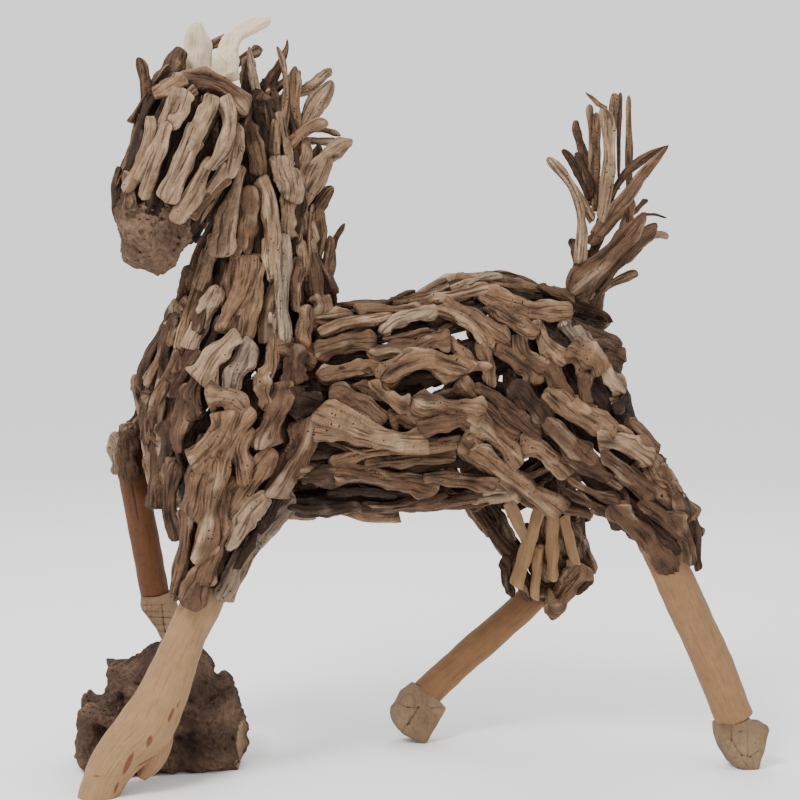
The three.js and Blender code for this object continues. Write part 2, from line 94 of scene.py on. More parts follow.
class Form:
    """A trunk or limb that sticks are laid on: an ellipse carried along a curve. Each row is a
    centre and the ellipse's half width and half depth; turn swings its width to the near side."""

    def __init__(self, rows, turn=0.0):
        rows = np.array(rows, float)
        self.centres = place(rows[:, :3])
        self.halves = rows[:, 3:] * MM
        turn = math.radians(turn)
        self.across = np.array([-math.sin(turn), math.cos(turn), 0.0])

    def axes(self, s):
        """Unit vectors along the curve, to the far side, and their cross product."""
        along = unit(curve_at(self.centres, s + 1e-4) - curve_at(self.centres, s - 1e-4))
        side = unit(self.across - along * (along @ self.across)[..., None])
        return along, side, np.cross(along, side)

    def surface(self, s, angle):
        """centre(s) + side * half width * cos(angle) + deep * half depth * sin(angle)."""
        s = np.clip(s, 0.0002, 0.9998)
        _, side, deep = self.axes(s)
        halves = curve_at(self.halves, s)
        a = np.radians(angle)[..., None]
        across = side * halves[..., :1] * np.cos(a)
        return curve_at(self.centres, s) + across + deep * halves[..., 1:] * np.sin(a)

    def outward(self, s, angle):
        """The surface's normal: the cross product of its two slopes, turned away from the centre."""
        s = np.clip(s, 0.011, 0.989)
        along = self.surface(s + 0.01, angle) - self.surface(s - 0.01, angle)
        around = self.surface(s, angle + 2) - self.surface(s, angle - 2)
        out = unit(np.cross(around, along))
        away = self.surface(s, angle) - curve_at(self.centres, s)
        return out * np.sign(np.sum(out * away, -1, keepdims=True))

    def holds(self, point, share=0.9, reach=17 * MM):
        """Whether a point lies inside the form, its ellipses shrunk to a share: at one of 31 places
        along it the point is less than reach further along and inside the ellipse."""
        s = np.linspace(0.001, 0.999, 31)
        along, side, deep = self.axes(s)
        halves = curve_at(self.halves, s)
        away = point - curve_at(self.centres, s)
        near = np.abs(np.sum(away * along, -1)) < reach
        width = np.sum(away * side, -1) / halves[:, 0]
        depth = np.sum(away * deep, -1) / halves[:, 1]
        return bool(np.any(near & (np.hypot(width, depth) < share)))


BREAST = Form([
    [-268, 0, 335, 40, 55], [-255, 0, 383, 72, 86], [-235, 0, 440, 92, 116], [-218, 0, 500, 97, 130],
    [-204, 0, 560, 88, 117], [-193, 0, 620, 72, 100], [-190, -2, 685, 57, 76], [-189, -10, 760, 46, 56],
    [-208, -17, 840, 42, 56], [-230, -25, 900, 37, 44],
])
BARREL = Form([
    [-230, 0, 478, 88, 112], [-175, 0, 479, 102, 135], [-75, 0, 482, 107, 136], [25, 0, 484, 110, 138],
    [100, 0, 503, 112, 153], [165, 0, 521, 110, 142], [222, 0, 538, 95, 113], [266, 0, 552, 70, 76],
    [292, 0, 552, 35, 38],
])
NEAR_SHOULDER = Form([
    [-200, -50, 610, 35, 60], [-215, -65, 525, 50, 100], [-225, -75, 450, 52, 102],
    [-242, -82, 370, 42, 75], [-262, -87, 305, 36, 50], [-280, -90, 250, 30, 34],
])
FAR_SHOULDER = Form([
    [-210, 50, 590, 35, 60], [-235, 65, 510, 50, 90], [-268, 72, 455, 47, 75],
    [-315, 75, 432, 37, 47], [-352, 75, 425, 30, 32],
])
NEAR_HAUNCH = Form([
    [150, -50, 610, 40, 60], [184, -65, 535, 57, 84], [228, -77, 465, 60, 76],
    [279, -90, 400, 48, 60], [332, -100, 338, 36, 44], [370, -107, 284, 28, 27],
])
FAR_HAUNCH = Form([
    [150, 50, 600, 40, 60], [160, 65, 500, 57, 105], [185, 77, 415, 60, 100],
    [220, 87, 330, 43, 73], [252, 95, 265, 38, 46], [276, 100, 216, 31, 35],
])
HEAD = Form([
    [-260, -36, 912, 44, 50], [-281, -44, 868, 60, 74], [-303, -58, 800, 54, 72],
    [-328, -73, 735, 44, 60], [-336, -80, 690, 36, 42],
], turn=30)

# The camera of the photograph, fitted to the feet on the floor: its place, its turn in degrees and
# its focal length in pixels of the 800 x 800 frame.
CAMERA_SPOT = place((-506.15, -2192.35, 588))
CAMERA_TILT, CAMERA_PAN = 87.585, -13.0
FOCAL_PIXELS = 1660
FRAME_MIDDLE = 400


def sight(pixels):
    """Unit directions from the camera through pixels: (x, y, -1) of the lens turned by tilt and pan."""
    pixels = np.asarray(pixels, float)
    tilt, pan = math.radians(CAMERA_TILT), math.radians(CAMERA_PAN)
    lens_x = (pixels[..., 0] - FRAME_MIDDLE) / FOCAL_PIXELS
    lens_y = (FRAME_MIDDLE - pixels[..., 1]) / FOCAL_PIXELS
    deep = lens_y * math.cos(tilt) + math.sin(tilt)
    high = lens_y * math.sin(tilt) - math.cos(tilt)
    return unit(np.stack([
        lens_x * math.cos(pan) - deep * math.sin(pan), lens_x * math.sin(pan) + deep * math.cos(pan), high,
    ], -1))


def skin(form):
    """A form's surface and normals, sampled at 90 shares and 120 angles, on the camera's side."""
    s, angle = np.meshgrid(np.linspace(0.01, 0.99, 90), np.arange(0, 360, 3.0), indexing="ij")
    points, outs = form.surface(s, angle).reshape(-1, 3), form.outward(s, angle).reshape(-1, 3)
    seen = np.sum(outs * (points - CAMERA_SPOT), -1) < 0
    return points[seen], outs[seen]


# The samples of each form that sticks were laid on so far.
SKINS = {}
# A depth in metres beyond all that is seen: it puts the samples on a line before all others.
FIRST = 10


def landing(forms, pixels):
    """Where lines of sight meet the forms: of the samples within 6 mm of a line the one nearest to
    the camera, or else the sample nearest to the line, brought onto the line at its own depth."""
    for form in forms:
        if form not in SKINS:
            SKINS[form] = skin(form)
    skins = [SKINS[form] for form in forms]
    points = np.vstack([points for points, _ in skins])
    outs = np.vstack([outs for _, outs in skins])
    aims = sight(pixels)
    away = points - CAMERA_SPOT
    depth = aims @ away.T
    miss = np.sqrt(np.maximum(np.sum(away**2, -1) - depth**2, 0))
    score = np.where(miss < 6 * MM, depth - FIRST, miss)
    best = np.argmin(score, 1)
    reach = depth[np.arange(len(best)), best]
    return CAMERA_SPOT + aims * reach[:, None], outs[best], reach


def bowed(foot, tip, bow, t):
    """Pixels between two ends at a column of shares t: a straight line, moved aside by bow times its
    length times sin(pi t)."""
    foot, way = np.array(foot, float), np.subtract(tip, foot)
    across = np.array([-way[1], way[0]])
    return foot + way * t + across * (bow * np.sin(math.pi * t))


# Rings along a stick and points round it: for the near side, the other sides and what lies under.
FINE, PLAIN, ROUGH = (36, 24), (22, 16), (14, 10)


def ring_shares(count):
    """Shares along a stick, closer together towards its ends: half of x plus a quarter of
    1 - cos(pi x), for x in even steps from 0 to 1."""
    x = np.linspace(0, 1, count)
    return 0.5 * x + 0.25 * (1 - np.cos(math.pi * x))


# Degrees in a radian, as far as a stick's random turn needs them.
RADIAN = 57.3
# Tones: 0 is dark brown and 0.88 the palest tan, and from there to 1 the wood turns grey. A tone
# over GREYED is meant as it is; a lower one may be made paler, but not past PALEST.
GREYED, PALEST = 0.8, 0.86


class Pile:
    """The sticks of one piece: their centre lines, facings and sizes, until they are carved. How
    wild it is says by how much its sticks bend, swell and split."""

    # For sticks in rows: the sizes and lengths that a draw may give, as shares of those asked for;
    # the step from one to the next and the least length, in lengths; the heights in millimetres.
    SIZES, LENGTHS = (0.72, 1.35), (0.75, 1.25)
    STEP, SHORTEST = 0.84, 0.35
    HEIGHTS = (-5, 3)

    def __init__(self, seed, grid=PLAIN, wild=1.0):
        self.rng = np.random.default_rng(seed)
        self.wild = wild
        self.rings, self.around = grid
        self.lines, self.outs, self.widths, self.depths, self.tips, self.tones = [], [], [], [], [], []

    def add(self, line, out, width, depth, tip=0.0, tone=None):
        """One stick: its centre line and its facings ring by ring, its sizes in metres, how pointed
        it is from 0 to 1, and its tone, which is drawn if none is given."""
        self.lines.append(line)
        self.outs.append(out)
        self.widths.append(width)
        self.depths.append(depth)
        self.tips.append(tip)
        self.tones.append(self.rng.uniform(0.1, 0.95) if tone is None else tone)

    def stick(self, foot, tip, width, flat=0.65):
        """One stick from foot to tip, facing the near side: a straight line plus its length times a
        small random sin(2 pi t) to its side and a small random sin(pi t) outwards."""
        rng = self.rng
        foot, tip = place(foot), place(tip)
        t = ring_shares(self.rings)[:, None]
        axis = tip - foot
        length = np.linalg.norm(axis)
        out = np.array([0.0, -1.0, 0.0])
        side = unit(np.cross(axis, out))
        wave = rng.uniform(-0.03, 0.03) * np.sin(2 * math.pi * t)
        dip = rng.uniform(-0.03, 0.03) * np.sin(math.pi * t)
        line = foot + axis * t + side * length * wave + out * length * dip
        self.add(line, np.repeat(out[None], self.rings, 0), width * MM, width * MM * flat)

    def clad(self, form, angles, span, width, length, skew=12, lift=0, tilt=7, within=(), pitch=0.78,
             tone=None, keep=1.0):
        """Rows of sticks along a form between two angles and two shares of its length, left out
        where they lie within other forms. Each is a blend of the surface and its own chord, one end
        raised by tilt and the other sunk. Rows lie pitch times a width apart, sticks turn by about
        skew degrees, and keep is the share of them that stays."""
        rng = self.rng
        first, last = angles
        start, end = span
        steps = np.linspace(0, 1, 13)
        middle = np.full_like(steps, (start + end) / 2)
        loop = form.surface(middle, first + (last - first) * steps)
        arc = np.linalg.norm(np.diff(loop, axis=0), axis=1).sum() / MM
        rows = max(1, round(arc / (width * pitch)))
        t = ring_shares(self.rings)
        for row in range(rows):
            angle = first + (last - first) * (row + 0.5) / rows
            run = form.surface(start + (end - start) * steps, np.full_like(steps, angle))
            run = np.linalg.norm(np.diff(run, axis=0), axis=1).sum() / MM
            count = max(1, round(run / (length * self.STEP)))
            offset = rng.uniform(-0.5, 0.5)
            for k in range(count + 1):
                size = rng.uniform(*self.SIZES)
                long = rng.uniform(*self.LENGTHS) * length * (0.7 + 0.3 * size)
                centre = start + (end - start) * (k + offset) / count
                reach = 0.5 * long / run * (end - start)
                a, b = max(centre - reach, start), min(centre + reach, end)
                if (b - a) * run / (end - start) < self.SHORTEST * length or rng.random() > keep:
                    continue
                turn = rng.normal(0, skew)
                swing = turn * (b - a) * run / (end - start) / RADIAN / arc * (last - first)
                s = a + (b - a) * t
                angle_at = angle + rng.uniform(-0.25, 0.25) * (last - first) / rows + swing * (t - 0.5)
                line = form.surface(s, angle_at)
                out = form.outward(s, angle_at)
                if any(other.holds(line[self.rings // 2]) for other in within):
                    continue
                chord = line[:1] + (line[-1:] - line[:1]) * t[:, None]
                line = 0.55 * line + 0.45 * chord
                high = (lift + rng.uniform(*self.HEIGHTS)) * MM
                slope = rng.choice([-1, 1], p=[0.3, 0.7]) * rng.uniform(0.4, 1.2) * tilt * MM
                bend = rng.normal(0, 0.035) * long * MM * np.sin(math.pi * t)
                side = unit(np.cross(out, np.gradient(line, axis=0)))
                line = line + out * (high + slope * (t[:, None] - 0.5) * 2) + side * bend[:, None]
                wide = width * size * rng.uniform(0.85, 1.1)
                self.add(line, out, wide * MM, wide * rng.uniform(0.5, 0.8) * MM, 0.0, tone)

    def free(self, rows, flat=0.65, taper=0.0, slim=1.0, pale=0.0):
        """Sticks that stand clear of the forms, each row its foot and tip and width in pixels, the
        depths y of foot and tip in millimetres, its tone, and its bow if it is given. All widths are
        times slim, and pale is added to the tones under 0.75."""
        t = ring_shares(self.rings)[:, None]
        out = np.repeat(np.array([[0.0, -1.0, 0.0]]), self.rings, 0)
        for foot_x, foot_y, tip_x, tip_y, width, foot_deep, tip_deep, tone, *bow in rows:
            rays = sight(bowed((foot_x, foot_y), (tip_x, tip_y), bow[0] if bow else 0.0, t))
            deep = place(np.hstack([t * 0, foot_deep + (tip_deep - foot_deep) * t, t * 0]))[:, 1:2]
            reach = (deep - CAMERA_SPOT[1]) / rays[:, 1:2]
            thick = width * slim * reach.mean() / FOCAL_PIXELS
            tone = tone + pale * (tone < 0.75)
            self.add(CAMERA_SPOT + rays * reach, out, thick, thick * flat, taper, tone)

    def seen(self, forms, rows, lift=2.0, flat=0.62, pale=0.0):
        """Sticks read off the photograph, each row its foot and tip and width in pixels and its tone,
        and its bow if it is given. A stick lies on the forms, a third on their surface and the rest
        on its own chord, smoothed to a parabola along the lines of sight. It is raised by lift and a
        random 3 mm down to 5 mm up, and tilted by up to 4 mm; pale is added to its tone."""
        rng = self.rng
        t = np.linspace(0, 1, 9)
        for foot_x, foot_y, tip_x, tip_y, width, tone, *bow in rows:
            bow = bow[0] if bow else rng.normal(0, 0.025)
            pixels = bowed((foot_x, foot_y), (tip_x, tip_y), bow, t[:, None])
            points, outs, reach = landing(forms, pixels)
            thick = width * reach.mean() / FOCAL_PIXELS
            chord = points[:1] + (points[-1:] - points[:1]) * t[:, None]
            rays = unit(points - CAMERA_SPOT)
            depth = np.sum((0.35 * points + 0.65 * chord - CAMERA_SPOT) * rays, -1)
            depth = np.polyval(np.polyfit(t, depth, 2), t)
            tilt = rng.uniform(-4, 4) * MM * (t - 0.5)
            depth = depth - (lift + rng.uniform(-3, 5)) * MM - thick * flat * 0.2 + tilt
            points = CAMERA_SPOT + rays * depth[:, None]
            out = unit(outs.mean(0) - rays.mean(0) * 0.8)
            line = curve_at(points, ring_shares(self.rings))
            tone = tone if tone > GREYED else min(tone + pale, PALEST)
            self.add(line, np.repeat(out[None], self.rings, 0), thick, thick * flat, 0.0, tone)

    def draw(self, low, high, axes=1):
        """A random number for each stick, as a column or as a block with two further axes."""
        return self.rng.uniform(low, high, (len(self.lines),) + (1,) * axes)

    def frames(self, lines):
        """Unit vectors along each stick, to its side and outwards, at each ring."""
        along = unit(np.gradient(lines, axis=1))
        side = unit(np.cross(np.array(self.outs), along))
        return along, side, np.cross(along, side)

    def crooked(self, widths):
        """The centre lines bent at two corners sideways and then at two outwards: each corner adds
        sqrt((t - corner)^2 + 0.003), less the straight line between its values at both ends."""
        lines = np.array(self.lines)
        t = np.linspace(0, 1, self.rings)[None]
        for reach, way in ((0.42, 1), (0.3, 2)):
            aside = self.frames(lines)[way]
            crook = 0
            for _ in range(2):
                corner = self.draw(0.15, 0.85)
                bent = np.sqrt((t - corner) ** 2 + 0.003)
                bent = bent - bent[:, :1] * (1 - t) - bent[:, -1:] * t
                crook = crook + self.wild * self.draw(-reach, reach) * bent
            lines = lines + aside * (crook * np.minimum(widths * 2.2, 0.05))[..., None]
        return lines

    def profile(self, t, slenderness):
        """How thick the sticks are at each share t, and their worn ends, from 0 at the very end to 1.
        Thickness is a slope, a waist, a knob near each end and four waves of 1 to 6 turns; an end
        is (1 - (1 - x)^2.6)^0.4, longer and sharper where the stick is pointed."""
        draw, wild = self.draw, self.wild
        tips = np.array(self.tips)[:, None]
        foot_end = np.clip(t / (draw(0.12, 0.5) * slenderness), 0, 1)
        tip_end = np.clip((1 - t) / (draw(0.12, 0.5) * slenderness + tips * 0.35), 0, 1)
        ends = (1 - (1 - foot_end) ** 2.6) ** 0.4 * (1 - (1 - tip_end) ** 2.6) ** (0.4 + tips * 0.4)
        body = 1 + wild * draw(-0.45, 0.45) * (t - 0.5) * (1 - tips) - tips * 0.4 * t
        body -= wild * draw(-0.05, 0.36) * np.abs(2 * t - 1 + draw(-0.4, 0.4)) ** 2
        for low, high in ((0.05, 0.16), (0.82, 0.94)):
            knob = wild * draw(0.1, 0.45) * (draw(0, 1) > 0.6) * (1 - tips)
            body += knob * np.exp(-(((t - draw(low, high)) / draw(0.05, 0.12)) ** 2))
        for turns in (1.0, 2.0, 3.5, 6.0):
            body += wild * draw(-1, 1) * 0.2 / turns * np.sin(2 * math.pi * (turns * t + draw(0, 1)))
        return np.maximum(body, 0.36)[:, :, None], ends[:, :, None]

    def section(self, t, run, q):
        """The sticks' cross-sections: the radius at share t, run metres along and angle q round, 1
        for a plain ellipse. It is the polygon (sum of (cos(q - facing) / distance)^16)^(-1/16), plus
        crests and flutes, less grooves and hollows of exp(-(angle / width)^2)."""
        wild = self.wild

        def pull(low, high):
            return self.draw(low, high, 2)

        # Worn facets: each side of a turning polygon of five cuts the section at its own distance.
        section = np.zeros(t.shape[:2] + q.shape[2:])
        for number in range(5):
            facing = number * 2 * math.pi / 5 + pull(-0.35, 0.35) + pull(-1.1, 1.1) * (t - 0.5)
            distance = pull(0.7, 1.08) + 0.13 * np.sin(2 * math.pi * (pull(0.6, 2.6) * t + pull(0, 1)))
            section += (np.maximum(np.cos(q - facing), 0) / distance) ** 16
        section = np.maximum(section, 1e-3) ** (-1 / 16)
        section = np.minimum(section, 1.36)
        # Crests along the grain where two waves cancel out, 170, 90 and 45 mm long, 1 to 6 times round.
        far = run / MM
        for size, lobes, high in ((170, 1, 0.16), (90, 3, 0.13), (45, 5, 0.055)):
            first = np.sin(2 * math.pi * far / size * pull(0.7, 1.2) + lobes * q + pull(0, 6.28))
            second = np.sin(2 * math.pi * far / size * pull(0.5, 1.1) - (lobes + 1) * q + pull(0, 6.28))
            section = section + wild * high * pull(0.3, 1.2) * (0.55 - np.abs(first + second))
        # Flutes, five to eight times round.
        for lobes in (5, 7, 8):
            wave = lobes * q + pull(0, 6.28) + pull(-5, 5) * t + 0.8 * np.sin(pull(3, 9) * t)
            section = section + pull(0.01, 0.04) * np.sin(wave)
        # Four grooves along part of the stick.
        for _ in range(4):
            groove_at = pull(-math.pi, math.pi) + pull(-0.8, 0.8) * (t - 0.5)
            gap = np.angle(np.exp(1j * (q - groove_at)))
            reach = np.clip(np.sin(math.pi * np.clip((t - pull(-0.3, 0.4)) / pull(0.4, 1.2), 0, 1)), 0, 1)
            section = section - wild * pull(0.04, 0.34) * reach * np.exp(-((gap / pull(0.16, 0.36)) ** 2))
        # Three hollows or bumps.
        for _ in range(3):
            gap = np.angle(np.exp(1j * (q - pull(-math.pi, math.pi))))
            spot = ((t - pull(0.05, 0.95)) / pull(0.03, 0.1)) ** 2
            section = section - wild * pull(-0.16, 0.34) * np.exp(-spot - (gap / pull(0.3, 0.8)) ** 2)
        return section

    def carve(self):
        """All the sticks as one grid: at share t and angle q round a stick its surface is
        line(t) + side * width / 2 * r * cos(q) + up * depth / 2 * r * sin(q), where r(t, q) is the
        section times the profile times the worn ends, and each end is broken off at a slant."""
        widths, depths = np.array(self.widths)[:, None], np.array(self.depths)[:, None]
        lines = self.crooked(widths)
        count = len(lines)
        steps = np.linalg.norm(np.diff(lines, axis=1), axis=2)
        run = np.concatenate([np.zeros((count, 1)), np.cumsum(steps, 1)], 1)
        length = run[:, -1:]
        t = run / length
        along, side, up = self.frames(lines)
        body, ends = self.profile(t, widths / length)
        q = (np.arange(self.around) * 2 * math.pi / self.around)[None, None, :]
        t, run = t[:, :, None], run[:, :, None]
        # The section's rise also goes to the shader: a low one is painted with shade, a high one with the
        # pale colour of worn edges, partly a painted highlight.
        rise = self.section(t, run, q)
        radius = np.clip(rise, 0.35, 1.5) * body * ends
        wide = widths[:, :, None] / 2 * radius * np.cos(q)
        deep = depths[:, :, None] / 2 * radius * np.sin(q)
        points = lines[:, :, None] + side[:, :, None] * wide[..., None] + up[:, :, None] * deep[..., None]
        tip_turn, foot_turn = self.draw(0, 6.28, 2), self.draw(0, 6.28, 2)
        slant = t**12 * np.cos(q - tip_turn) + (1 - t) ** 12 * np.cos(q - foot_turn)
        slant = slant * self.draw(0.1, 0.8, 2) * radius * widths[:, :, None] / 2
        points = points + along[:, :, None] * slant[..., None]
        points[..., 2] = np.clip(points[..., 2], 0.0, CAD_HIGH[2] - 0.5 * MM)

        tone = np.broadcast_to(np.array(self.tones)[:, None, None], rise.shape)
        # Each stick's grain starts at its own place in the pattern.
        u = run + self.draw(0, 50, 2)
        girth = math.pi * (widths + depths)[:, :, None] / 2 * np.linspace(0, 1, self.around + 1)
        u, v = np.broadcast_arrays(u, girth + self.draw(0, 50, 2))
        return points, rise, tone, u, v


def grid_mesh(name, points, rise, tone, u, v):
    """Closed tubes from grids of shape (tubes, rings, round): the first and last ring of each are
    drawn together to a pole at their mean. The grain runs along u and round v, in metres."""
    tubes, rings, around = rise.shape
    ids = np.arange(rings * around).reshape(rings, around)
    after = np.roll(ids, -1, 1)
    quads = np.stack([ids[:-1], ids[1:], after[1:], after[:-1]], -1).reshape(-1, 4)
    spots = np.arange(rings * (around + 1)).reshape(rings, around + 1)
    quad_uv = np.stack([spots[:-1, :-1], spots[1:, :-1], spots[1:, 1:], spots[:-1, 1:]], -1).reshape(-1, 4)
    foot, tip = rings * around, rings * around + 1
    foot_fan = np.stack([np.full(around, foot), ids[0], after[0]], -1)
    tip_fan = np.stack([np.full(around, tip), after[-1], ids[-1]], -1)
    fans = np.vstack([foot_fan, tip_fan])
    foot_uv = np.stack([spots[0, :-1], spots[0, :-1], spots[0, 1:]], -1)
    tip_uv = np.stack([spots[-1, :-1], spots[-1, 1:], spots[-1, :-1]], -1)
    fan_uv = np.vstack([foot_uv, tip_uv])

    flat = points.reshape(tubes, -1, 3)
    poles = np.stack([points[:, 0].mean(1), points[:, -1].mean(1)], 1)
    verts = np.concatenate([flat, poles], 1)
    size = verts.shape[1]
    offsets = (np.arange(tubes) * size)[:, None]
    loops = np.concatenate([
        (quads.reshape(1, -1) + offsets).reshape(tubes, -1),
        (fans.reshape(1, -1) + offsets).reshape(tubes, -1),
    ], 1).ravel()
    sides = np.tile(np.concatenate([np.full(len(quads), 4), np.full(len(fans), 3)]), tubes)

    mesh = bpy.data.meshes.new(name)
    mesh.vertices.add(tubes * size)
    mesh.vertices.foreach_set("co", verts.astype(np.float32).ravel())
    mesh.loops.add(len(loops))
    mesh.loops.foreach_set("vertex_index", loops.astype(np.int32))
    mesh.polygons.add(len(sides))
    starts = np.concatenate([[0], np.cumsum(sides)[:-1]])
    mesh.polygons.foreach_set("loop_start", starts.astype(np.int32))
    mesh.update(calc_edges=True)
    mesh.polygons.foreach_set("use_smooth", np.ones(len(sides), bool))

    where = np.concatenate([quad_uv.ravel(), fan_uv.ravel()])
    grain = np.stack([u.reshape(tubes, -1)[:, where], v.reshape(tubes, -1)[:, where]], -1)
    layer = mesh.uv_layers.new(name="grain")
    layer.uv.foreach_set("vector", grain.astype(np.float32).ravel())
    for label, values in (("rise", rise), ("tone", tone)):
        values = values.reshape(tubes, -1)
        ends = np.repeat(values.mean(1, keepdims=True), 2, 1)
        field = mesh.attributes.new(label, "FLOAT", "POINT")
        field.data.foreach_set("value", np.concatenate([values, ends], 1).astype(np.float32).ravel())
    mesh.validate()
    piece = bpy.data.objects.new(name, mesh)
    bpy.context.scene.collection.objects.link(piece)
    return piece


def colour(code):
    """An sRGB hex value as linear RGBA."""
    parts = [int(code[i:i + 2], 16) / 255 for i in (1, 3, 5)]
    return [c / 12.92 if c <= 0.04045 else ((c + 0.055) / 1.055) ** 2.4 for c in parts] + [1.0]


def add(tree, kind, inputs=None, stops=None, **settings):
    """A node with its settings and its inputs, each a value or a socket, and a ramp's stops."""
    node = tree.nodes.new(kind)
    for key, value in settings.items():
        setattr(node, key, value)
    for key, value in (inputs or {}).items():
        if isinstance(value, bpy.types.NodeSocket):
            tree.links.new(value, node.inputs[key])
        else:
            node.inputs[key].default_value = value
    for i, (position, code) in enumerate(stops or []):
        elements = node.color_ramp.elements
        element = elements[i] if i < 2 else elements.new(position)
        element.position = position
        element.color = colour(code)
    return node


def weathered_wood(name, stops, painted_shade_colour, worn_edge_and_highlight_colour, grain_depth=0.5, holes=1.0, roughness=0.82, streak=1.0,
                   pitted=0.1):
    """Wood worn by water and sun: matt, its grain raised, with worm holes. The tone picks its hue, a
    low rise mixes in painted shade, so hollows and grooves are painted dark, and a high one mixes in
    the pale colour of worn edges, partly a painted highlight. How strong the grain's bump, the
    worm holes, the streaks and the dents are is given from 0 to 1."""
    material = bpy.data.materials.new(name)
    material.use_nodes = True
    tree = material.node_tree
    tree.nodes.clear()
    uv = add(tree, "ShaderNodeUVMap", uv_map="grain").outputs["UV"]
    tone = add(tree, "ShaderNodeAttribute", attribute_name="tone").outputs["Fac"]
    rise = add(tree, "ShaderNodeAttribute", attribute_name="rise").outputs["Fac"]
    spot = add(tree, "ShaderNodeTexCoord").outputs["Object"]
    # Grain streaks 25 mm long and 2.2 mm across, splits 50 mm long and 3.3 mm apart, blotches of
    # 22 mm and dents of 7 mm.
    fine = add(tree, "ShaderNodeMapping", {"Vector": uv, "Scale": (40, 450, 1)}).outputs["Vector"]
    fine = add(tree, "ShaderNodeTexNoise", {"Vector": fine, "Scale": 1.0, "Detail": 5.0}).outputs["Fac"]
    split = add(tree, "ShaderNodeMapping", {"Vector": uv, "Scale": (20, 300, 1)}).outputs["Vector"]
    split = add(tree, "ShaderNodeTexNoise", {"Vector": split, "Scale": 1.0, "Detail": 3.0, "Distortion": 0.3})
    split = split.outputs["Fac"]
    blotch = add(tree, "ShaderNodeTexNoise", {"Vector": spot, "Scale": 45.0, "Detail": 4.0}).outputs["Fac"]
    rough = add(tree, "ShaderNodeTexNoise", {"Vector": spot, "Scale": 150.0, "Detail": 4.0}).outputs["Fac"]
    # Worm holes of about 1.5 mm in 5 mm cells, only where a 50 mm noise is high.
    cell = add(tree, "ShaderNodeMapping", {"Vector": uv, "Scale": (200, 200, 1)}).outputs["Vector"]
    cell = add(tree, "ShaderNodeTexVoronoi", {"Vector": cell, "Scale": 1.0}, voronoi_dimensions="2D")
    chosen = add(tree, "ShaderNodeSeparateColor", {"Color": cell.outputs["Color"]}).outputs["Red"]
    eaten = add(tree, "ShaderNodeTexNoise", {"Vector": spot, "Scale": 20.0, "Detail": 1.0}).outputs["Fac"]
    chosen = add(tree, "ShaderNodeMath", {0: chosen, 1: eaten}, operation="MULTIPLY").outputs[0]
    chosen = add(tree, "ShaderNodeMath", {0: chosen, 1: 0.5}, operation="GREATER_THAN").outputs[0]
    hole = {"Value": cell.outputs["Distance"], 1: 0.08, 2: 0.2, 3: 1.0, 4: 0.0}
    hole = add(tree, "ShaderNodeMapRange", hole).outputs[0]
    hole = add(tree, "ShaderNodeMath", {0: hole, 1: chosen}, operation="MULTIPLY").outputs[0]
    hole = add(tree, "ShaderNodeMath", {0: hole, 1: holes}, operation="MULTIPLY").outputs[0]

    # The colour of the tone, with painted shade mixed into hollows and grooves where the rise is low, and
    # paler on worn edges where it is high, partly a painted highlight.
    base = add(tree, "ShaderNodeValToRGB", {"Fac": tone}, stops=stops).outputs["Color"]
    shade = add(tree, "ShaderNodeMapRange", {"Value": rise, 1: 0.4, 2: 0.78, 3: 0.2, 4: 1.0}).outputs[0]
    base = {"Factor": shade, 6: colour(painted_shade_colour), 7: base}
    base = add(tree, "ShaderNodeMix", base, data_type="RGBA").outputs[2]
    edge = add(tree, "ShaderNodeMapRange", {"Value": rise, 1: 1.02, 2: 1.4, 3: 0.0, 4: 1.0}).outputs[0]
    most = add(tree, "ShaderNodeMapRange", {"Value": tone, 1: 0.0, 2: 0.6, 3: 0.12, 4: 0.42}).outputs[0]
    edge = add(tree, "ShaderNodeMath", {0: edge, 1: most}, operation="MULTIPLY").outputs[0]
    base = {"Factor": edge, 6: base, 7: colour(worn_edge_and_highlight_colour)}
    base = add(tree, "ShaderNodeMix", base, data_type="RGBA").outputs[2]
    # Blotches, streaks, splits and dents make it lighter and darker; the darkening of the splits is painted
    # shade in the cracks.
    mottled = {"Value": blotch, 1: 0.3, 2: 0.7, 3: 1 - 0.3 * streak, 4: 1 + 0.18 * streak}
    mottled = add(tree, "ShaderNodeMapRange", mottled).outputs[0]
    streaks = {"Value": fine, 1: 0.35, 2: 0.65, 3: 1 - 0.26 * streak, 4: 1 + 0.22 * streak}
    streaks = add(tree, "ShaderNodeMapRange", streaks).outputs[0]
    splits = {"Value": split, 1: 0.36, 2: 0.42, 3: 1 - 0.55 * streak, 4: 1.0}
    splits = add(tree, "ShaderNodeMapRange", splits).outputs[0]
    # Dents darker and bumps paler, following the same noise as their relief: painted shade and painted light.
    dents = {"Value": rough, 1: 0.38, 2: 0.56, 3: 1 - pitted, 4: 1 + 0.3 * pitted}
    dents = add(tree, "ShaderNodeMapRange", dents).outputs[0]
    light = add(tree, "ShaderNodeMath", {0: mottled, 1: streaks}, operation="MULTIPLY").outputs[0]
    light = add(tree, "ShaderNodeMath", {0: light, 1: splits}, operation="MULTIPLY").outputs[0]
    light = add(tree, "ShaderNodeMath", {0: light, 1: dents}, operation="MULTIPLY").outputs[0]
    base = add(tree, "ShaderNodeVectorMath", {0: base, "Scale": light}, operation="SCALE").outputs[0]
    # Worm holes painted nearly black: painted shade inside the holes.
    base = {"Factor": hole, 6: base, 7: colour("#160F0A")}
    base = add(tree, "ShaderNodeMix", base, data_type="RGBA").outputs[2]

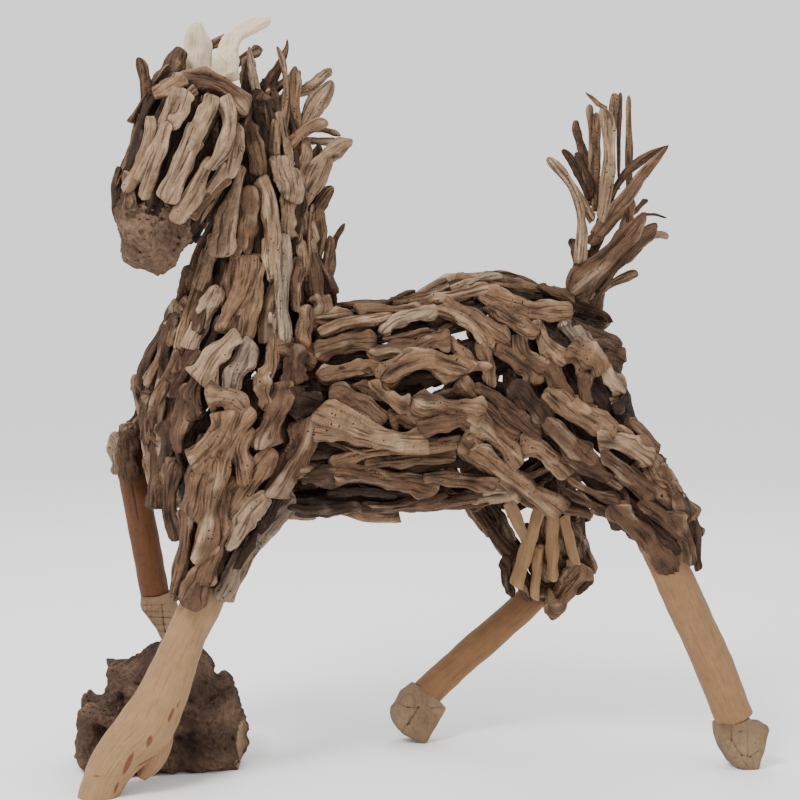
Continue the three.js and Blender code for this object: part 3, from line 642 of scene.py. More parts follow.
    # Splits, grain, worm holes and dents in relief, 3.5 mm high at full strength.
    height = add(tree, "ShaderNodeMath", {0: fine, 1: 0.3}, operation="MULTIPLY").outputs[0]
    height = add(tree, "ShaderNodeMath", {0: splits, 1: height}, operation="ADD").outputs[0]
    height = add(tree, "ShaderNodeMath", {0: height, 1: hole}, operation="SUBTRACT").outputs[0]
    rough = add(tree, "ShaderNodeMath", {0: rough, 1: 1 + 3 * pitted}, operation="MULTIPLY").outputs[0]
    height = add(tree, "ShaderNodeMath", {0: height, 1: rough}, operation="ADD").outputs[0]
    bump = {"Height": height, "Strength": grain_depth, "Distance": 3.5 * MM}
    bump = add(tree, "ShaderNodeBump", bump).outputs["Normal"]
    shader = add(tree, "ShaderNodeBsdfPrincipled", {
        "Base Color": base, "Normal": bump, "Roughness": roughness, "Specular IOR Level": 0.25, "IOR": 1.45,
    })
    add(tree, "ShaderNodeOutputMaterial", {"Surface": shader.outputs["BSDF"]})
    return material


# Softwood sticks worn by water and sand: dull, from dark brown to tan and grey, the grain standing
# out, splits and hollows painted nearly black as shade and worn edges pale, partly a painted highlight.
# The ramp's dark low end also gives the under layer its painted shade. The ramp's two end stops come first.
DRIFTWOOD = weathered_wood("weathered driftwood", [
    (0.0, "#1C120B"), (1.0, "#5E534A"), (0.25, "#402D20"), (0.5, "#5E4532"), (0.72, "#785C44"),
    (0.88, "#937A62"),
], "#180F08", "#C2A789", grain_depth=1.0)
# Driftwood bleached by the sun: pale as bone and smoother, with hardly any streaks.
BONE_WOOD = weathered_wood(
    "sun-bleached driftwood", [(0.0, "#C9B292"), (1.0, "#CDB99D")], "#8C7558", "#DCC9AC", grain_depth=0.2,
    holes=0.3, roughness=0.7, streak=0.35, pitted=0.05,
)
# Peeled softwood, sanded and oiled: warm and fairly even, with a soft sheen and fine grain.
PEELED = weathered_wood(
    "peeled and oiled trunk", [(0.0, "#6C4A2D"), (1.0, "#957553")], "#5E3319", "#A8835D",
    grain_depth=0.12, holes=0.15, roughness=0.6, streak=0.36, pitted=0.04,
)
# Pine under a brown stain: reddish and even, with a soft sheen.
STAINED = weathered_wood(
    "stained pine post", [(0.0, "#4C2D15"), (1.0, "#5A361D")], "#281709", "#664226",
    grain_depth=0.12, holes=0.2, roughness=0.6, streak=0.3,
)
# Softwood carved by hand and rubbed with lime: dusty beige, its cuts darkened with painted shade.
CARVED = weathered_wood(
    "carved and limed hoof wood", [(0.0, "#614A35"), (1.0, "#8A7258")], "#402F20", "#A48C6D",
    grain_depth=0.3, holes=0.2, roughness=0.75, streak=0.4,
)
# Root wood eaten by water: dull dark brown, rough all over, its pits painted nearly black as shade.
ROOT = weathered_wood(
    "eroded root wood", [(0.0, "#46352A"), (1.0, "#8A6E58")], "#1C130C", "#9C8163",
    grain_depth=1.0, roughness=0.9, streak=0.4, pitted=0.26,
)


def finish_piece(piece, material, nodes):
    """The piece takes its finish, rides the body and stands for its CAD nodes."""
    piece.data.materials.append(material)
    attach(piece, "root")
    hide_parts(*nodes)


def sticks(name, pile, nodes, material=DRIFTWOOD):
    """One piece of a pile's sticks."""
    finish_piece(grid_mesh(name, *pile.carve()), material, nodes)


def seen_sticks(name, nodes, seed, forms, rows, wild=1.0, **more):
    """One piece of sticks read off the photograph."""
    pile = Pile(seed, FINE, wild)
    pile.seen(forms, rows, **more)
    sticks(name, pile, nodes)


def clad_sticks(name, nodes, seed, *where, grid=PLAIN, **more):
    """One piece of sticks laid in rows on a form."""
    pile = Pile(seed, grid)
    pile.clad(*where, **more)
    sticks(name, pile, nodes)


def shaded_understicks(name, seed, *where, **more):
    """A layer of sticks 14 mm under the near side's own, which stand for the CAD nodes, given the dark
    tone 0.12 as painted shade in the gaps between them.
    """
    clad_sticks(name + "_understicks", [], seed, *where, grid=ROUGH, lift=-14, tone=0.12, pitch=0.85, tilt=4,
                **more)


def waves(points, size, seed, count=18):
    """A smooth random field: the sum of 18 sine waves of one wavelength, in random directions and
    phases, over the root of 18."""
    rng = np.random.default_rng(seed)
    aims = unit(rng.normal(size=(count, 3))) * 2 * math.pi / (size * MM)
    phases = rng.uniform(0, 2 * math.pi, count)
    return np.sin(points @ aims.T + phases).sum(-1) / math.sqrt(count)


def facings(points):
    """Normals of a closed grid: the cross product of its two slopes, turned away from each ring."""
    down = np.gradient(points, axis=1)
    around = np.roll(points, -1, 2) - np.roll(points, 1, 2)
    out = unit(np.cross(around, down))
    away = points - points.mean(axis=(1, 2), keepdims=True)
    return out * np.sign(np.sum(out * away, axis=(1, 2, 3), keepdims=True))


def limb(name, rows, size, shares, flat, material, nodes, seed, swell=0.6, scars=(), rings=110,
         around=56, tone=0.5):
    """A peeled trunk: circles of a diameter size times share carried along a curve, flattened
    outwards, with slow swellings and shallow flutes along the grain, its ends rounded over 1.2% of
    its length. Each scar is a hollow of the near side with a place, a direction, a half length
    and a half width: its depth is 1.4 mm times exp(-(d^2)^2), d seen from the side, and it lowers
    the rise by 0.9 times the same, which paints shade into it."""
    t = ring_shares(rings)
    line = curve_at(place(rows), t)
    along = unit(np.gradient(line, axis=0))
    side = unit(np.cross(along, [0.0, -1.0, 0.0]))
    up = np.cross(side, along)
    q = np.arange(around) * 2 * math.pi / around
    radius = size / 2 * MM * curve_at(np.array(shares)[:, None], t)[:, 0]
    close = np.sqrt(np.clip(1 - (1 - np.clip(np.minimum(t, 1 - t) / 0.012, 0, 1)) ** 2, 0.02, 1))
    ring = radius[:, None] * close[:, None]
    points = line[:, None] + side[:, None] * (ring * np.cos(q))[..., None] \
        + up[:, None] * (ring * flat * np.sin(q))[..., None]
    points = points[None]
    out = facings(points)
    relief = swell * MM * waves(points, 90, seed) + 0.25 * MM * waves(points, 24, seed + 1)
    flute = np.sin(3 * q + 4 * t[:, None]) + 0.7 * np.sin(5 * q - 5 * t[:, None] + 1)
    relief = relief + 0.35 * swell * MM * flute[None]
    # Outside the scars the rise gets no painted shade; a scar lowers it, which paints shade into the scar.
    rise = np.full(relief.shape, 0.97)
    scar_depth, scar_rise = 1.4 * MM, 0.9
    for spot, lean, long, wide in scars:
        away = (points - place(spot)) * (1, 0, 1)
        lean = unit(np.array(lean, float))
        down = away @ lean
        across = np.linalg.norm(away - down[..., None] * lean, axis=-1)
        mark = np.exp(-(((down / (long * MM)) ** 2 + (across / (wide * MM)) ** 2) ** 2)) * (out[..., 1] < 0)
        relief = relief - scar_depth * mark
        rise = rise - scar_rise * mark
    points = points + out * relief[..., None]
    points[..., 2] = np.maximum(points[..., 2], 0.0)
    run = np.linalg.norm(np.diff(line, axis=0), axis=1)
    u = np.concatenate([[0], np.cumsum(run)])[:, None]
    v = size * MM * math.pi * np.linspace(0, 1, around + 1)[None]
    u, v = np.broadcast_arrays(u + seed, v)
    piece = grid_mesh(name, points, rise, np.full(rise.shape, tone), u[None], v[None])
    finish_piece(piece, material, nodes)


# The rise that marks a sawn face, and the pale tone such a face has.
SAWN, SAWN_TONE = 2.0, 0.95


def slab(name, outline, middle, half, boxy, material, nodes, relief, rings=60, around=160,
         rounding=0.12, seed=1, grain=2, tone=0.5):
    """A lump: an outline x, z at the depth y of its middle, carried half its breadth to each side
    and shrunk towards both faces by the superellipse (1 - |x|^boxy)^(1/boxy), its rings equally far
    apart. The outline's corners are rounded by rounding times an eighth of its points in passes of
    (before + 2 * itself + after) / 4. Relief gives the height and the rise of its points, and grain
    is the axis that the grain follows."""
    outline = place([(x, middle, z) for x, z in outline])
    closed = np.vstack([outline, outline[:1]])
    steps = np.linalg.norm(np.diff(closed, axis=0), axis=1)
    marks = np.concatenate([[0], np.cumsum(steps)])
    far = np.arange(around) / around * marks[-1]
    edge = np.stack([np.interp(far, marks, closed[:, i]) for i in range(3)], -1)
    for _ in range(max(1, int(rounding * around / 8))):
        edge = 0.25 * np.roll(edge, 1, 0) + 0.5 * edge + 0.25 * np.roll(edge, -1, 0)
    heart = edge.mean(0)
    a = np.linspace(-math.pi / 2, math.pi / 2, 2001)
    x = np.sign(np.sin(a)) * np.abs(np.sin(a)) ** (2 / boxy)
    shrink = np.maximum(np.cos(a), 0.0) ** (2 / boxy)
    size = np.linalg.norm(edge - heart, axis=1).mean()
    run = np.concatenate([[0], np.cumsum(np.hypot(np.diff(x) * half * MM, np.diff(shrink) * size))])
    steps = np.linspace(0, run[-1], rings)
    x = np.interp(steps, run, x)
    shrink = np.maximum(np.interp(steps, run, shrink), 0.01)
    points = heart + (edge - heart)[None] * shrink[:, None, None] \
        + np.array([0, half * MM, 0]) * x[:, None, None]
    points = points[None]
    out = facings(points)
    height, rise = relief(points, out)
    points = points + out * height[..., None]
    points[..., 2] = np.maximum(points[..., 2], 0.0)
    u = points[0, ..., grain]
    u = np.concatenate([u, u[:, :1]], 1)
    v = np.concatenate([points[0, ..., 0] + points[0, ..., 1]] * 2, 1)[:, :around + 1]
    tone = np.where(rise == SAWN, SAWN_TONE, tone + 0.2 * waves(points, 60, seed + 2))
    finish_piece(grid_mesh(name, points, rise, tone, u[None], v[None]), material, nodes)


def pits(points, seed, count, small, large, depth):
    """Round hollows of a small to a large radius at random places of the surface: depth times
    radius times exp(-(distance / radius)^4)."""
    rng = np.random.default_rng(seed)
    flat = points.reshape(-1, 3)
    total = np.zeros(len(flat))
    for centre in flat[rng.integers(0, len(flat), count)]:
        radius = rng.uniform(small, large) * MM
        away = np.linalg.norm(flat - centre, axis=1) / radius
        total = np.maximum(total, depth * radius * np.exp(-(away**4)))
    return total.reshape(points.shape[:3])


def creased(points, lines, seed):
    """Faint waves and carved lines on the near face. Each line is its two ends x and z, its width
    and its depth in millimetres: depth times exp(-(distance / width)^2). A line lowers the rise by
    0.55 times the same, which paints shade into the cut."""
    height = 0.3 * MM * waves(points, 20, seed)
    rise = np.ones(points.shape[:3])
    near = points[..., 1] < points[..., 1].mean()
    flat = points[..., [0, 2]]
    for x1, z1, x2, z2, width, depth in lines:
        first, last = place((x1, 0, z1))[[0, 2]], place((x2, 0, z2))[[0, 2]]
        run = last - first
        along = np.clip((flat - first) @ run / (run @ run), 0, 1)
        away = np.linalg.norm(flat - first - along[..., None] * run, axis=-1)
        mark = near * np.exp(-((away / (width * MM)) ** 2))
        height = height - depth * MM * mark
        rise = rise - 0.55 * mark
    return height, rise


def eroded(points, out, seed, count, holes, comb, size=1.0, saw=None):
    """Root wood eaten by water: broad lumps, ridges where a wave field crosses zero, deep hollows
    and small worm pits, all sunk 6 mm times size. Each hole has a place, a radius and a depth; comb
    is a number of pits scattered by a spread round a place; saw is a plane's spot and normal."""
    # The ridges are drawn out along a slanting line.
    slant = unit(np.array([0.8, 0.0, -0.6]))
    drawn = points - 0.72 * (points @ slant)[..., None] * slant
    broad = waves(points, 75 * size, seed)
    ridges = 1 - np.abs(waves(drawn, 30 * size, seed + 1))
    fine = waves(drawn, 9 * size, seed + 2)
    hollows = pits(points, seed + 3, count, 8 * size, 20 * size, 0.75)
    worms = pits(points, seed + 4, count * 9, 1.6, 4.0, 0.9)
    for spot, radius, depth in holes:
        away = np.linalg.norm(points - place(spot), axis=-1) / (radius * MM)
        hollows = np.maximum(hollows, depth * MM * np.exp(-(away**4)))
    spot, spread, number = comb
    rng = np.random.default_rng(seed + 5)
    for _ in range(number):
        away = np.linalg.norm(points - place(spot) - rng.normal(0, spread * MM, 3), axis=-1)
        worms = np.maximum(worms, 3.2 * MM * np.exp(-((away / rng.uniform(2.2, 4.2) / MM) ** 4)))
    sunk = 6 * size * MM
    height = (5 * broad + 4 * ridges + 1.8 * fine) * size * MM - hollows - worms - sunk
    # Hollows and worm pits lower the rise, which paints shade into them; ridges raise it towards a faint
    # painted highlight.
    rise = 0.9 + 0.12 * ridges + 0.07 * fine - hollows / (36 * MM) - worms / (6 * MM)
    if saw:
        spot, normal = saw
        normal = unit(np.array(normal, float))
        over = (points - place(spot)) @ normal
        height = np.where(over > 0, -over / np.maximum(out @ normal, 0.4) - sunk, height)
        rise = np.where(over > 0, SAWN, rise)
    return height, rise


# Sticks of the near side as the photograph shows them: foot x, foot y, tip x, tip y and width in
# pixels, then tone, and bow where it matters.
FACE_SEEN = (
    (150, 116, 124, 192, 13, 0.5, -0.06), (122, 176, 129, 210, 13, 0.3), (177, 87, 137, 182, 15, 0.62),
    (187, 91, 169, 124, 14, 0.7), (197, 89, 171, 129, 10, 0.4), (170, 122, 145, 199, 14, 0.55),
    (212, 94, 187, 152, 19, 0.75), (193, 122, 163, 201, 13, 0.62), (199, 138, 167, 203, 12, 0.58),
    (224, 97, 207, 170, 17, 0.78, -0.12), (211, 160, 175, 223, 17, 0.55), (239, 123, 228, 179, 15, 0.85),
    (226, 163, 180, 216, 11, 0.75, -0.05), (229, 178, 190, 216, 12, 0.3), (183, 75, 153, 94, 15, 0.5),
)
NECK_SEEN = (
    (248, 122, 261, 175, 20, 0.35), (243, 165, 220, 258, 19, 0.65), (260, 176, 273, 280, 17, 0.6),
    (248, 187, 243, 252, 20, 0.4), (214, 233, 199, 292, 14, 0.62), (206, 236, 188, 290, 12, 0.3),
    (249, 254, 221, 332, 27, 0.5), (228, 262, 212, 300, 14, 0.15), (207, 250, 179, 352, 12, 0.55),
    (218, 288, 188, 350, 19, 0.7), (262, 262, 245, 338, 19, 0.5), (271, 240, 273, 282, 17, 0.66),
    (283, 236, 285, 343, 17, 0.95), (289, 192, 289, 238, 18, 0.6), (283, 158, 289, 200, 24, 0.68),
    (302, 240, 304, 276, 15, 0.6), (300, 262, 296, 312, 13, 0.3), (312, 205, 313, 300, 9, 0.35),
    (236, 240, 232, 300, 14, 0.25), (271, 300, 271, 336, 20, 0.9), (302, 305, 302, 346, 21, 0.55),
    (206, 262, 195, 334, 17, 0.2), (246, 294, 232, 348, 18, 0.2), (274, 282, 264, 344, 16, 0.2),
    (188, 296, 172, 346, 11, 0.45), (174, 316, 148, 384, 14, 0.5), (194, 300, 178, 372, 12, 0.3),
)
SHOULDER_SEEN = (
    (271, 331, 259, 384, 14, 0.6), (240, 333, 203, 384, 22, 0.85), (252, 339, 232, 394, 22, 0.95),
    (205, 396, 245, 411, 25, 0.75), (258, 372, 262, 410, 17, 0.55), (198, 349, 170, 398, 14, 0.3),
    (181, 354, 157, 424, 16, 0.5), (192, 386, 179, 453, 21, 0.45), (166, 380, 147, 428, 16, 0.5),
    (226, 410, 190, 466, 28, 0.7), (253, 412, 220, 487, 18, 0.72), (286, 380, 262, 448, 25, 0.55),
    (216, 448, 190, 519, 30, 0.6), (151, 436, 174, 490, 19, 0.35), (253, 427, 247, 484, 24, 0.66),
    (273, 448, 225, 521, 21, 0.7), (308, 418, 270, 498, 30, 0.45), (219, 458, 197, 563, 25, 0.6),
    (186, 506, 173, 601, 19, 0.55), (216, 543, 191, 611, 23, 0.5), (268, 494, 226, 549, 25, 0.85),
    (332, 451, 294, 470, 17, 0.7), (270, 350, 318, 361, 28, 0.55), (293, 385, 322, 402, 33, 0.12),
    (236, 478, 220, 540, 18, 0.4), (165, 420, 160, 470, 18, 0.3), (176, 462, 176, 540, 17, 0.35),
    (296, 440, 288, 480, 20, 0.3), (205, 372, 196, 420, 15, 0.3), (150, 395, 148, 445, 14, 0.35),
    (230, 520, 205, 580, 18, 0.5), (300, 350, 296, 385, 20, 0.3),
)
FLANK_SEEN = (
    (313, 318, 352, 313, 17, 0.6), (319, 335, 392, 317, 17, 0.7), (356, 312, 424, 310, 17, 0.62),
    (381, 334, 438, 312, 15, 0.9), (382, 339, 431, 332, 10, 0.5), (315, 354, 377, 342, 23, 0.5),
    (368, 350, 421, 350, 18, 0.45), (411, 352, 448, 337, 19, 0.5), (318, 378, 390, 367, 16, 0.55),
    (380, 382, 466, 374, 23, 0.7, -0.12), (328, 394, 384, 424, 25, 0.5), (371, 380, 411, 408, 18, 0.72, 0.1),
    (413, 398, 485, 411, 27, 0.6), (389, 420, 425, 433, 15, 0.45), (419, 427, 473, 427, 20, 0.5),
    (313, 412, 428, 440, 27, 0.75, 0.05), (329, 464, 460, 444, 15, 0.72), (364, 466, 456, 459, 15, 0.6),
    (332, 472, 438, 492, 20, 0.5), (423, 479, 497, 486, 17, 0.55), (288, 506, 361, 506, 17, 0.15),
    (361, 508, 447, 494, 12, 0.3), (426, 505, 483, 496, 11, 0.3), (327, 493, 397, 496, 9, 0.1),
    (322, 436, 392, 462, 14, 0.3), (340, 366, 372, 372, 10, 0.2), (395, 447, 462, 437, 12, 0.5),
    (300, 478, 334, 488, 20, 0.25), (352, 386, 392, 396, 12, 0.3),
)
CROUP_SEEN = (
    (390, 302, 450, 286, 10, 0.45), (409, 305, 490, 289, 13, 0.6), (438, 308, 489, 350, 19, 0.66, -0.14),
    (484, 340, 490, 386, 16, 0.6), (447, 335, 478, 369, 14, 0.66), (463, 372, 489, 369, 10, 0.6),
    (459, 378, 521, 434, 17, 0.45), (469, 415, 518, 461, 24, 0.66), (466, 433, 487, 462, 11, 0.6),
    (459, 441, 521, 498, 20, 0.6), (447, 297, 508, 342, 19, 0.6), (478, 292, 573, 313, 25, 0.72),
    (488, 278, 556, 290, 12, 0.6), (488, 305, 540, 332, 19, 0.6), (538, 319, 567, 364, 18, 0.75),
    (470, 309, 507, 341, 15, 0.5), (517, 336, 544, 369, 18, 0.45), (497, 342, 534, 385, 20, 0.55),
    (475, 388, 542, 435, 19, 0.4), (508, 386, 545, 423, 26, 0.2), (540, 284, 572, 300, 14, 0.45),
)
HAUNCH_SEEN = (
    (519, 446, 571, 476, 17, 0.7), (470, 450, 560, 512, 21, 0.66), (542, 359, 570, 398, 17, 0.4),
    (620, 448, 614, 419, 3, 0.2), (621, 440, 628, 416, 3, 0.2), (549, 390, 614, 435, 27, 0.7),
    (558, 394, 626, 395, 16, 0.72, 0.14), (567, 400, 631, 439, 14, 0.66), (543, 420, 623, 488, 21, 0.42),
    (597, 439, 650, 460, 23, 0.8), (636, 437, 667, 480, 24, 0.66), (616, 470, 696, 519, 20, 0.66),
    (563, 321, 584, 349, 14, 0.98), (574, 326, 602, 357, 14, 0.95), (567, 349, 600, 374, 27, 0.6),
    (593, 359, 625, 391, 19, 0.9), (613, 410, 625, 394, 12, 0.1), (563, 490, 616, 516, 13, 0.4),
    (612, 505, 672, 573, 20, 0.42), (668, 484, 687, 519, 18, 0.35), (670, 513, 689, 565, 18, 0.4),
    (692, 513, 699, 571, 9, 0.3), (694, 510, 699, 534, 10, 0.05), (569, 478, 619, 499, 12, 0.42),
    (521, 497, 592, 514, 16, 0.4), (549, 424, 589, 452, 14, 0.45), (585, 372, 592, 420, 16, 0.4),
    (600, 455, 655, 500, 16, 0.35), (640, 500, 690, 545, 16, 0.4), (628, 420, 660, 450, 14, 0.5),
    (560, 460, 610, 480, 14, 0.3), (655, 470, 680, 505, 15, 0.5),
)

# Sticks that stand clear of the forms: foot x, foot y, tip x, tip y and width in pixels, the depths y
# of foot and tip in millimetres, then tone, and bow where it matters.
BROW = ((172, 82, 248, 114, 23, -62, -98, 0.45, -0.17),)
FORELOCK_POINT = ((148, 118, 139, 57, 14, -45, -50, 0.45),)
FORELOCK = ((158, 90, 181, 47, 22, -40, -10, 0.4),)
POLL = ((205, 48, 227, 36, 9, 12, 14, 0.6), (230, 68, 261, 48, 11, -8, 5, 0.35, -0.08))
FAR_EAR = ((194, 78, 198, 20, 34, 2, 0, 0.8),)
NEAR_EAR = ((229, 80, 233, 33, 27, -64, -62, 0.95, -0.1),)
NEAR_EAR_TIP = ((222, 62, 271, 19, 14, -64, -58, 0.95, -0.14),)
ELBOW = (
    (296, 498, 220, 600, 19, -96, -122, 0.96, 0.05), (262, 528, 226, 602, 15, -84, -112, 0.78),
)
FAR_HOCK = (
    (548, 604, 586, 566, 30, 46, 50, 0.7), (470, 500, 513, 552, 14, 50, 52, 0.3),
    (487, 500, 513, 542, 11, 46, 48, 0.2), (500, 560, 513, 598, 15, 52, 56, 0.25),
    (516, 560, 530, 600, 18, 60, 64, 0.35), (530, 590, 560, 602, 20, 66, 72, 0.4),
    (575, 520, 590, 566, 13, 60, 62, 0.3), (562, 500, 579, 544, 11, 44, 46, 0.2),
    (590, 575, 560, 598, 14, 84, 86, 0.3),
)
PEELED_RODS = (
    (508, 500, 528, 543, 11, 44, 44, 0.86), (539, 507, 516, 588, 12, 42, 44, 0.88),
    (554, 509, 553, 578, 12, 40, 42, 0.88), (541, 545, 535, 599, 10, 46, 48, 0.8),
    (564, 515, 575, 564, 9, 38, 40, 0.8),
)
MANE_SEEN = (
    (273, 162, 249, 46, 12, -42, -40, 0.92), (256, 98, 287, 39, 14, -15, -5, 0.3, 0.06),
    (243, 102, 250, 54, 16, -25, -20, 0.15), (273, 148, 277, 46, 13, -38, -35, 0.55, 0.07),
    (284, 148, 294, 66, 17, -20, -15, 0.55), (254, 104, 292, 76, 10, 0, 5, 0.3),
    (262, 112, 285, 90, 12, 0, 4, 0.25), (292, 92, 331, 68, 12, 5, 12, 0.84, 0.08),
    (296, 142, 332, 80, 21, -8, -5, 0.68, -0.06), (296, 130, 341, 136, 8, 8, 12, 0.6, -0.08),
    (300, 140, 353, 140, 9, 4, 10, 0.66), (277, 172, 327, 120, 14, -40, -32, 0.52, -0.1),
    (284, 195, 304, 136, 22, -36, -28, 0.6), (298, 186, 317, 144, 19, -8, 0, 0.18),
    (286, 238, 327, 154, 22, -40, -28, 0.62), (310, 175, 352, 141, 18, -28, -18, 0.66, 0.06),
    (304, 236, 334, 187, 18, -10, -4, 0.4), (315, 262, 318, 205, 18, -16, -10, 0.5),
    (308, 282, 300, 222, 12, -44, -40, 0.72), (298, 284, 294, 222, 12, -46, -40, 0.5),
    (328, 266, 345, 223, 8, 2, 8, 0.3, -0.1), (318, 304, 330, 235, 11, -22, -16, 0.45),
    (324, 306, 335, 250, 9, -8, -2, 0.5), (325, 322, 328, 270, 15, -14, -10, 0.5),
    (310, 318, 306, 256, 14, -30, -24, 0.3), (288, 300, 286, 236, 14, -48, -44, 0.9),
    (262, 178, 248, 118, 18, -50, -48, 0.42), (270, 130, 262, 78, 14, -20, -16, 0.2),
    (290, 120, 300, 70, 9, -4, 0, 0.35), (280, 240, 282, 180, 14, -30, -30, 0.2),
    (310, 210, 325, 176, 12, 4, 8, 0.3),
)
# The tail's thick stump, its twigs and its forked sticks, and then the rest of it.
TAIL_POINTED = (
    (568, 292, 646, 212, 27, -42, -48, 0.5, 0.03), (641, 214, 667, 218, 5, -48, -50, 0.4, -0.08),
    (606, 210, 668, 145, 9, -22, -36, 0.5, -0.1), (594, 236, 669, 145, 13, -36, -40, 0.6, 0.02),
    (607, 110, 585, 92, 6, -50, -50, 0.7), (582, 326, 606, 262, 19, 8, 6, 0.45),
)
TAIL_SEEN = (
    (578, 268, 571, 238, 12, -10, -8, 0.3), (580, 264, 548, 157, 13, -44, -46, 0.84, 0.14),
    (594, 220, 552, 160, 10, -38, -44, 0.8, 0.04), (590, 200, 563, 149, 11, -12, -10, 0.14),
    (592, 200, 576, 152, 14, -10, -8, 0.12), (593, 175, 576, 120, 11, 2, 5, 0.3),
    (589, 206, 589, 104, 10, -8, -5, 0.5), (595, 212, 596, 112, 10, -12, -8, 0.4),
    (600, 222, 605, 108, 16, -42, -50, 0.8, 0.03), (612, 196, 616, 93, 11, -20, -15, 0.6),
    (619, 190, 621, 92, 5, -12, -8, 0.3), (629, 225, 629, 95, 9, -4, -5, 0.5),
    (622, 232, 631, 196, 10, -2, 2, 0.86), (626, 216, 647, 199, 8, 3, 6, 0.4),
    (588, 244, 628, 200, 16, -30, -32, 0.5), (622, 238, 669, 236, 10, 0, 8, 0.7, -0.12),
    (596, 290, 658, 226, 15, -14, -20, 0.35), (590, 292, 642, 240, 15, -8, -10, 0.25),
    (592, 298, 638, 272, 12, -2, 2, 0.6), (586, 306, 614, 258, 14, -6, -8, 0.2),
    (576, 300, 590, 250, 20, -20, -22, 0.3), (590, 260, 606, 200, 14, -20, -20, 0.25),
    (570, 310, 590, 280, 20, -6, -8, 0.3),
)

# Head
shaded_understicks("face", 10, HEAD, (150, 300), (0.02, 0.9), 18, 120, skew=6)
seen_sticks("face_sticks", ["nose", "near_cheek"], 11, [HEAD], FACE_SEEN, lift=3, pale=0.24, wild=0.65)
clad_sticks("cheek_sticks", ["far_cheek", "jaw"], 12, HEAD, (-60, 150), (0.02, 0.88), 20, 105, skew=8,
            lift=-2)
pile = Pile(13, FINE, wild=0.7)
pile.free(BROW, flat=0.9)
sticks("brow_stick", pile, ["brow"])
pile = Pile(14, FINE, wild=0.6)
pile.free(FORELOCK_POINT, taper=0.3)
pile.free(FORELOCK, taper=0.3)
pile.free(POLL)
sticks("forelock_sticks", pile, ["forelock_point", "forelock", "poll_stick"])
pile = Pile(15, FINE, wild=0.25)
pile.free(FAR_EAR, flat=0.3, taper=0.9)
pile.free(NEAR_EAR, flat=0.35, taper=0.9)
pile.free(NEAR_EAR_TIP, flat=0.5, taper=0.4)
sticks("ear_pieces", pile, ["far_ear", "near_ear"], BONE_WOOD)

# Neck, breast and shoulders
shaded_understicks("near_neck", 20, BREAST, (110, 225), (0.44, 0.99), 24, 125, skew=8, within=(NEAR_SHOULDER,))
seen_sticks("near_neck_sticks", ["near_neck"], 21, [BREAST, NEAR_SHOULDER], NECK_SEEN, pale=0.16, wild=0.75)
clad_sticks("far_neck_sticks", ["far_neck", "throat"], 22, BREAST, (-35, 110), (0.5, 0.99), 26, 115,
            skew=10, within=(FAR_SHOULDER,))
clad_sticks("breast_sticks", ["breast"], 23, BREAST, (25, 155), (0.02, 0.52), 27, 105, skew=14,
            within=(NEAR_SHOULDER, FAR_SHOULDER))
shaded_understicks("near_shoulder", 26, NEAR_SHOULDER, (90, 275), (0.02, 0.97), 26, 105, skew=12)
seen_sticks("near_shoulder_sticks", ["near_shoulder"], 24, [NEAR_SHOULDER, BREAST], SHOULDER_SEEN, wild=0.9)
pile = Pile(25)
pile.clad(FAR_SHOULDER, (-90, 90), (0.02, 0.95), 27, 100, skew=14, within=(BREAST,))
pile.clad(FAR_SHOULDER, (90, 270), (0.4, 0.95), 27, 100, skew=14, within=(BREAST,))
sticks("far_shoulder_sticks", pile, ["far_shoulder"])

# Barrel
INNER = (NEAR_SHOULDER, FAR_SHOULDER, NEAR_HAUNCH, FAR_HAUNCH, BREAST)
shaded_understicks("near_upper_flank", 30, BARREL, (110, 180), (0.05, 0.64), 22, 120, skew=7, within=INNER, keep=0.8)
seen_sticks("near_flank_sticks", ["near_upper_flank", "near_lower_flank"], 32,
            [BARREL, BREAST, NEAR_SHOULDER], FLANK_SEEN)
shaded_understicks("near_lower_flank", 33, BARREL, (180, 250), (0.05, 0.64), 22, 120, skew=7, within=INNER, keep=0.8)
for seed, name, angles in (
    (31, "back", (55, 112)), (34, "belly", (245, 300)), (35, "far_lower_flank", (-60, 0)),
    (36, "far_upper_flank", (0, 55)),
):
    clad_sticks(name + "_sticks", [name], seed, BARREL, angles, (0.05, 0.64), 25, 110, tilt=6, within=INNER)
clad_sticks("rump_sticks", ["rump"], 37, BARREL, (10, 100), (0.6, 0.99), 26, 105, skew=15,
            within=(NEAR_HAUNCH, FAR_HAUNCH), grid=FINE)
shaded_understicks("near_croup", 39, BARREL, (100, 175), (0.55, 0.99), 24, 105, skew=9, within=(NEAR_HAUNCH,))
seen_sticks("near_croup_sticks", [], 40, [BARREL, NEAR_HAUNCH], CROUP_SEEN, wild=0.85)
pile = Pile(38)
pile.clad(BARREL, (170, 370), (0.68, 0.99), 26, 100, skew=15, lift=-5, within=(NEAR_HAUNCH, FAR_HAUNCH))
pile.clad(BARREL, (150, 390), (0.8, 0.99), 28, 95, skew=20, lift=9, tone=0.35,
          within=(NEAR_HAUNCH, FAR_HAUNCH))
sticks("buttock_sticks", pile, ["buttock"])

# Hindquarters
shaded_understicks("near_haunch", 45, NEAR_HAUNCH, (75, 280), (0.02, 0.64), 26, 110, skew=10, within=(BARREL,))
seen_sticks("near_haunch_sticks", ["near_haunch"], 41, [NEAR_HAUNCH, BARREL], HAUNCH_SEEN, wild=0.8)
clad_sticks("near_gaskin_sticks", ["near_gaskin"], 42, NEAR_HAUNCH, (0, 360), (0.6, 0.97), 22, 95, skew=9,
            lift=-5, tone=0.25)
clad_sticks("far_haunch_sticks", ["far_haunch"], 43, FAR_HAUNCH, (-95, 90), (0.02, 0.62), 26, 110, skew=14,
            lift=-3, within=(BARREL,))
clad_sticks("far_gaskin_sticks", ["far_gaskin"], 44, FAR_HAUNCH, (0, 360), (0.6, 0.97), 22, 110, skew=9)

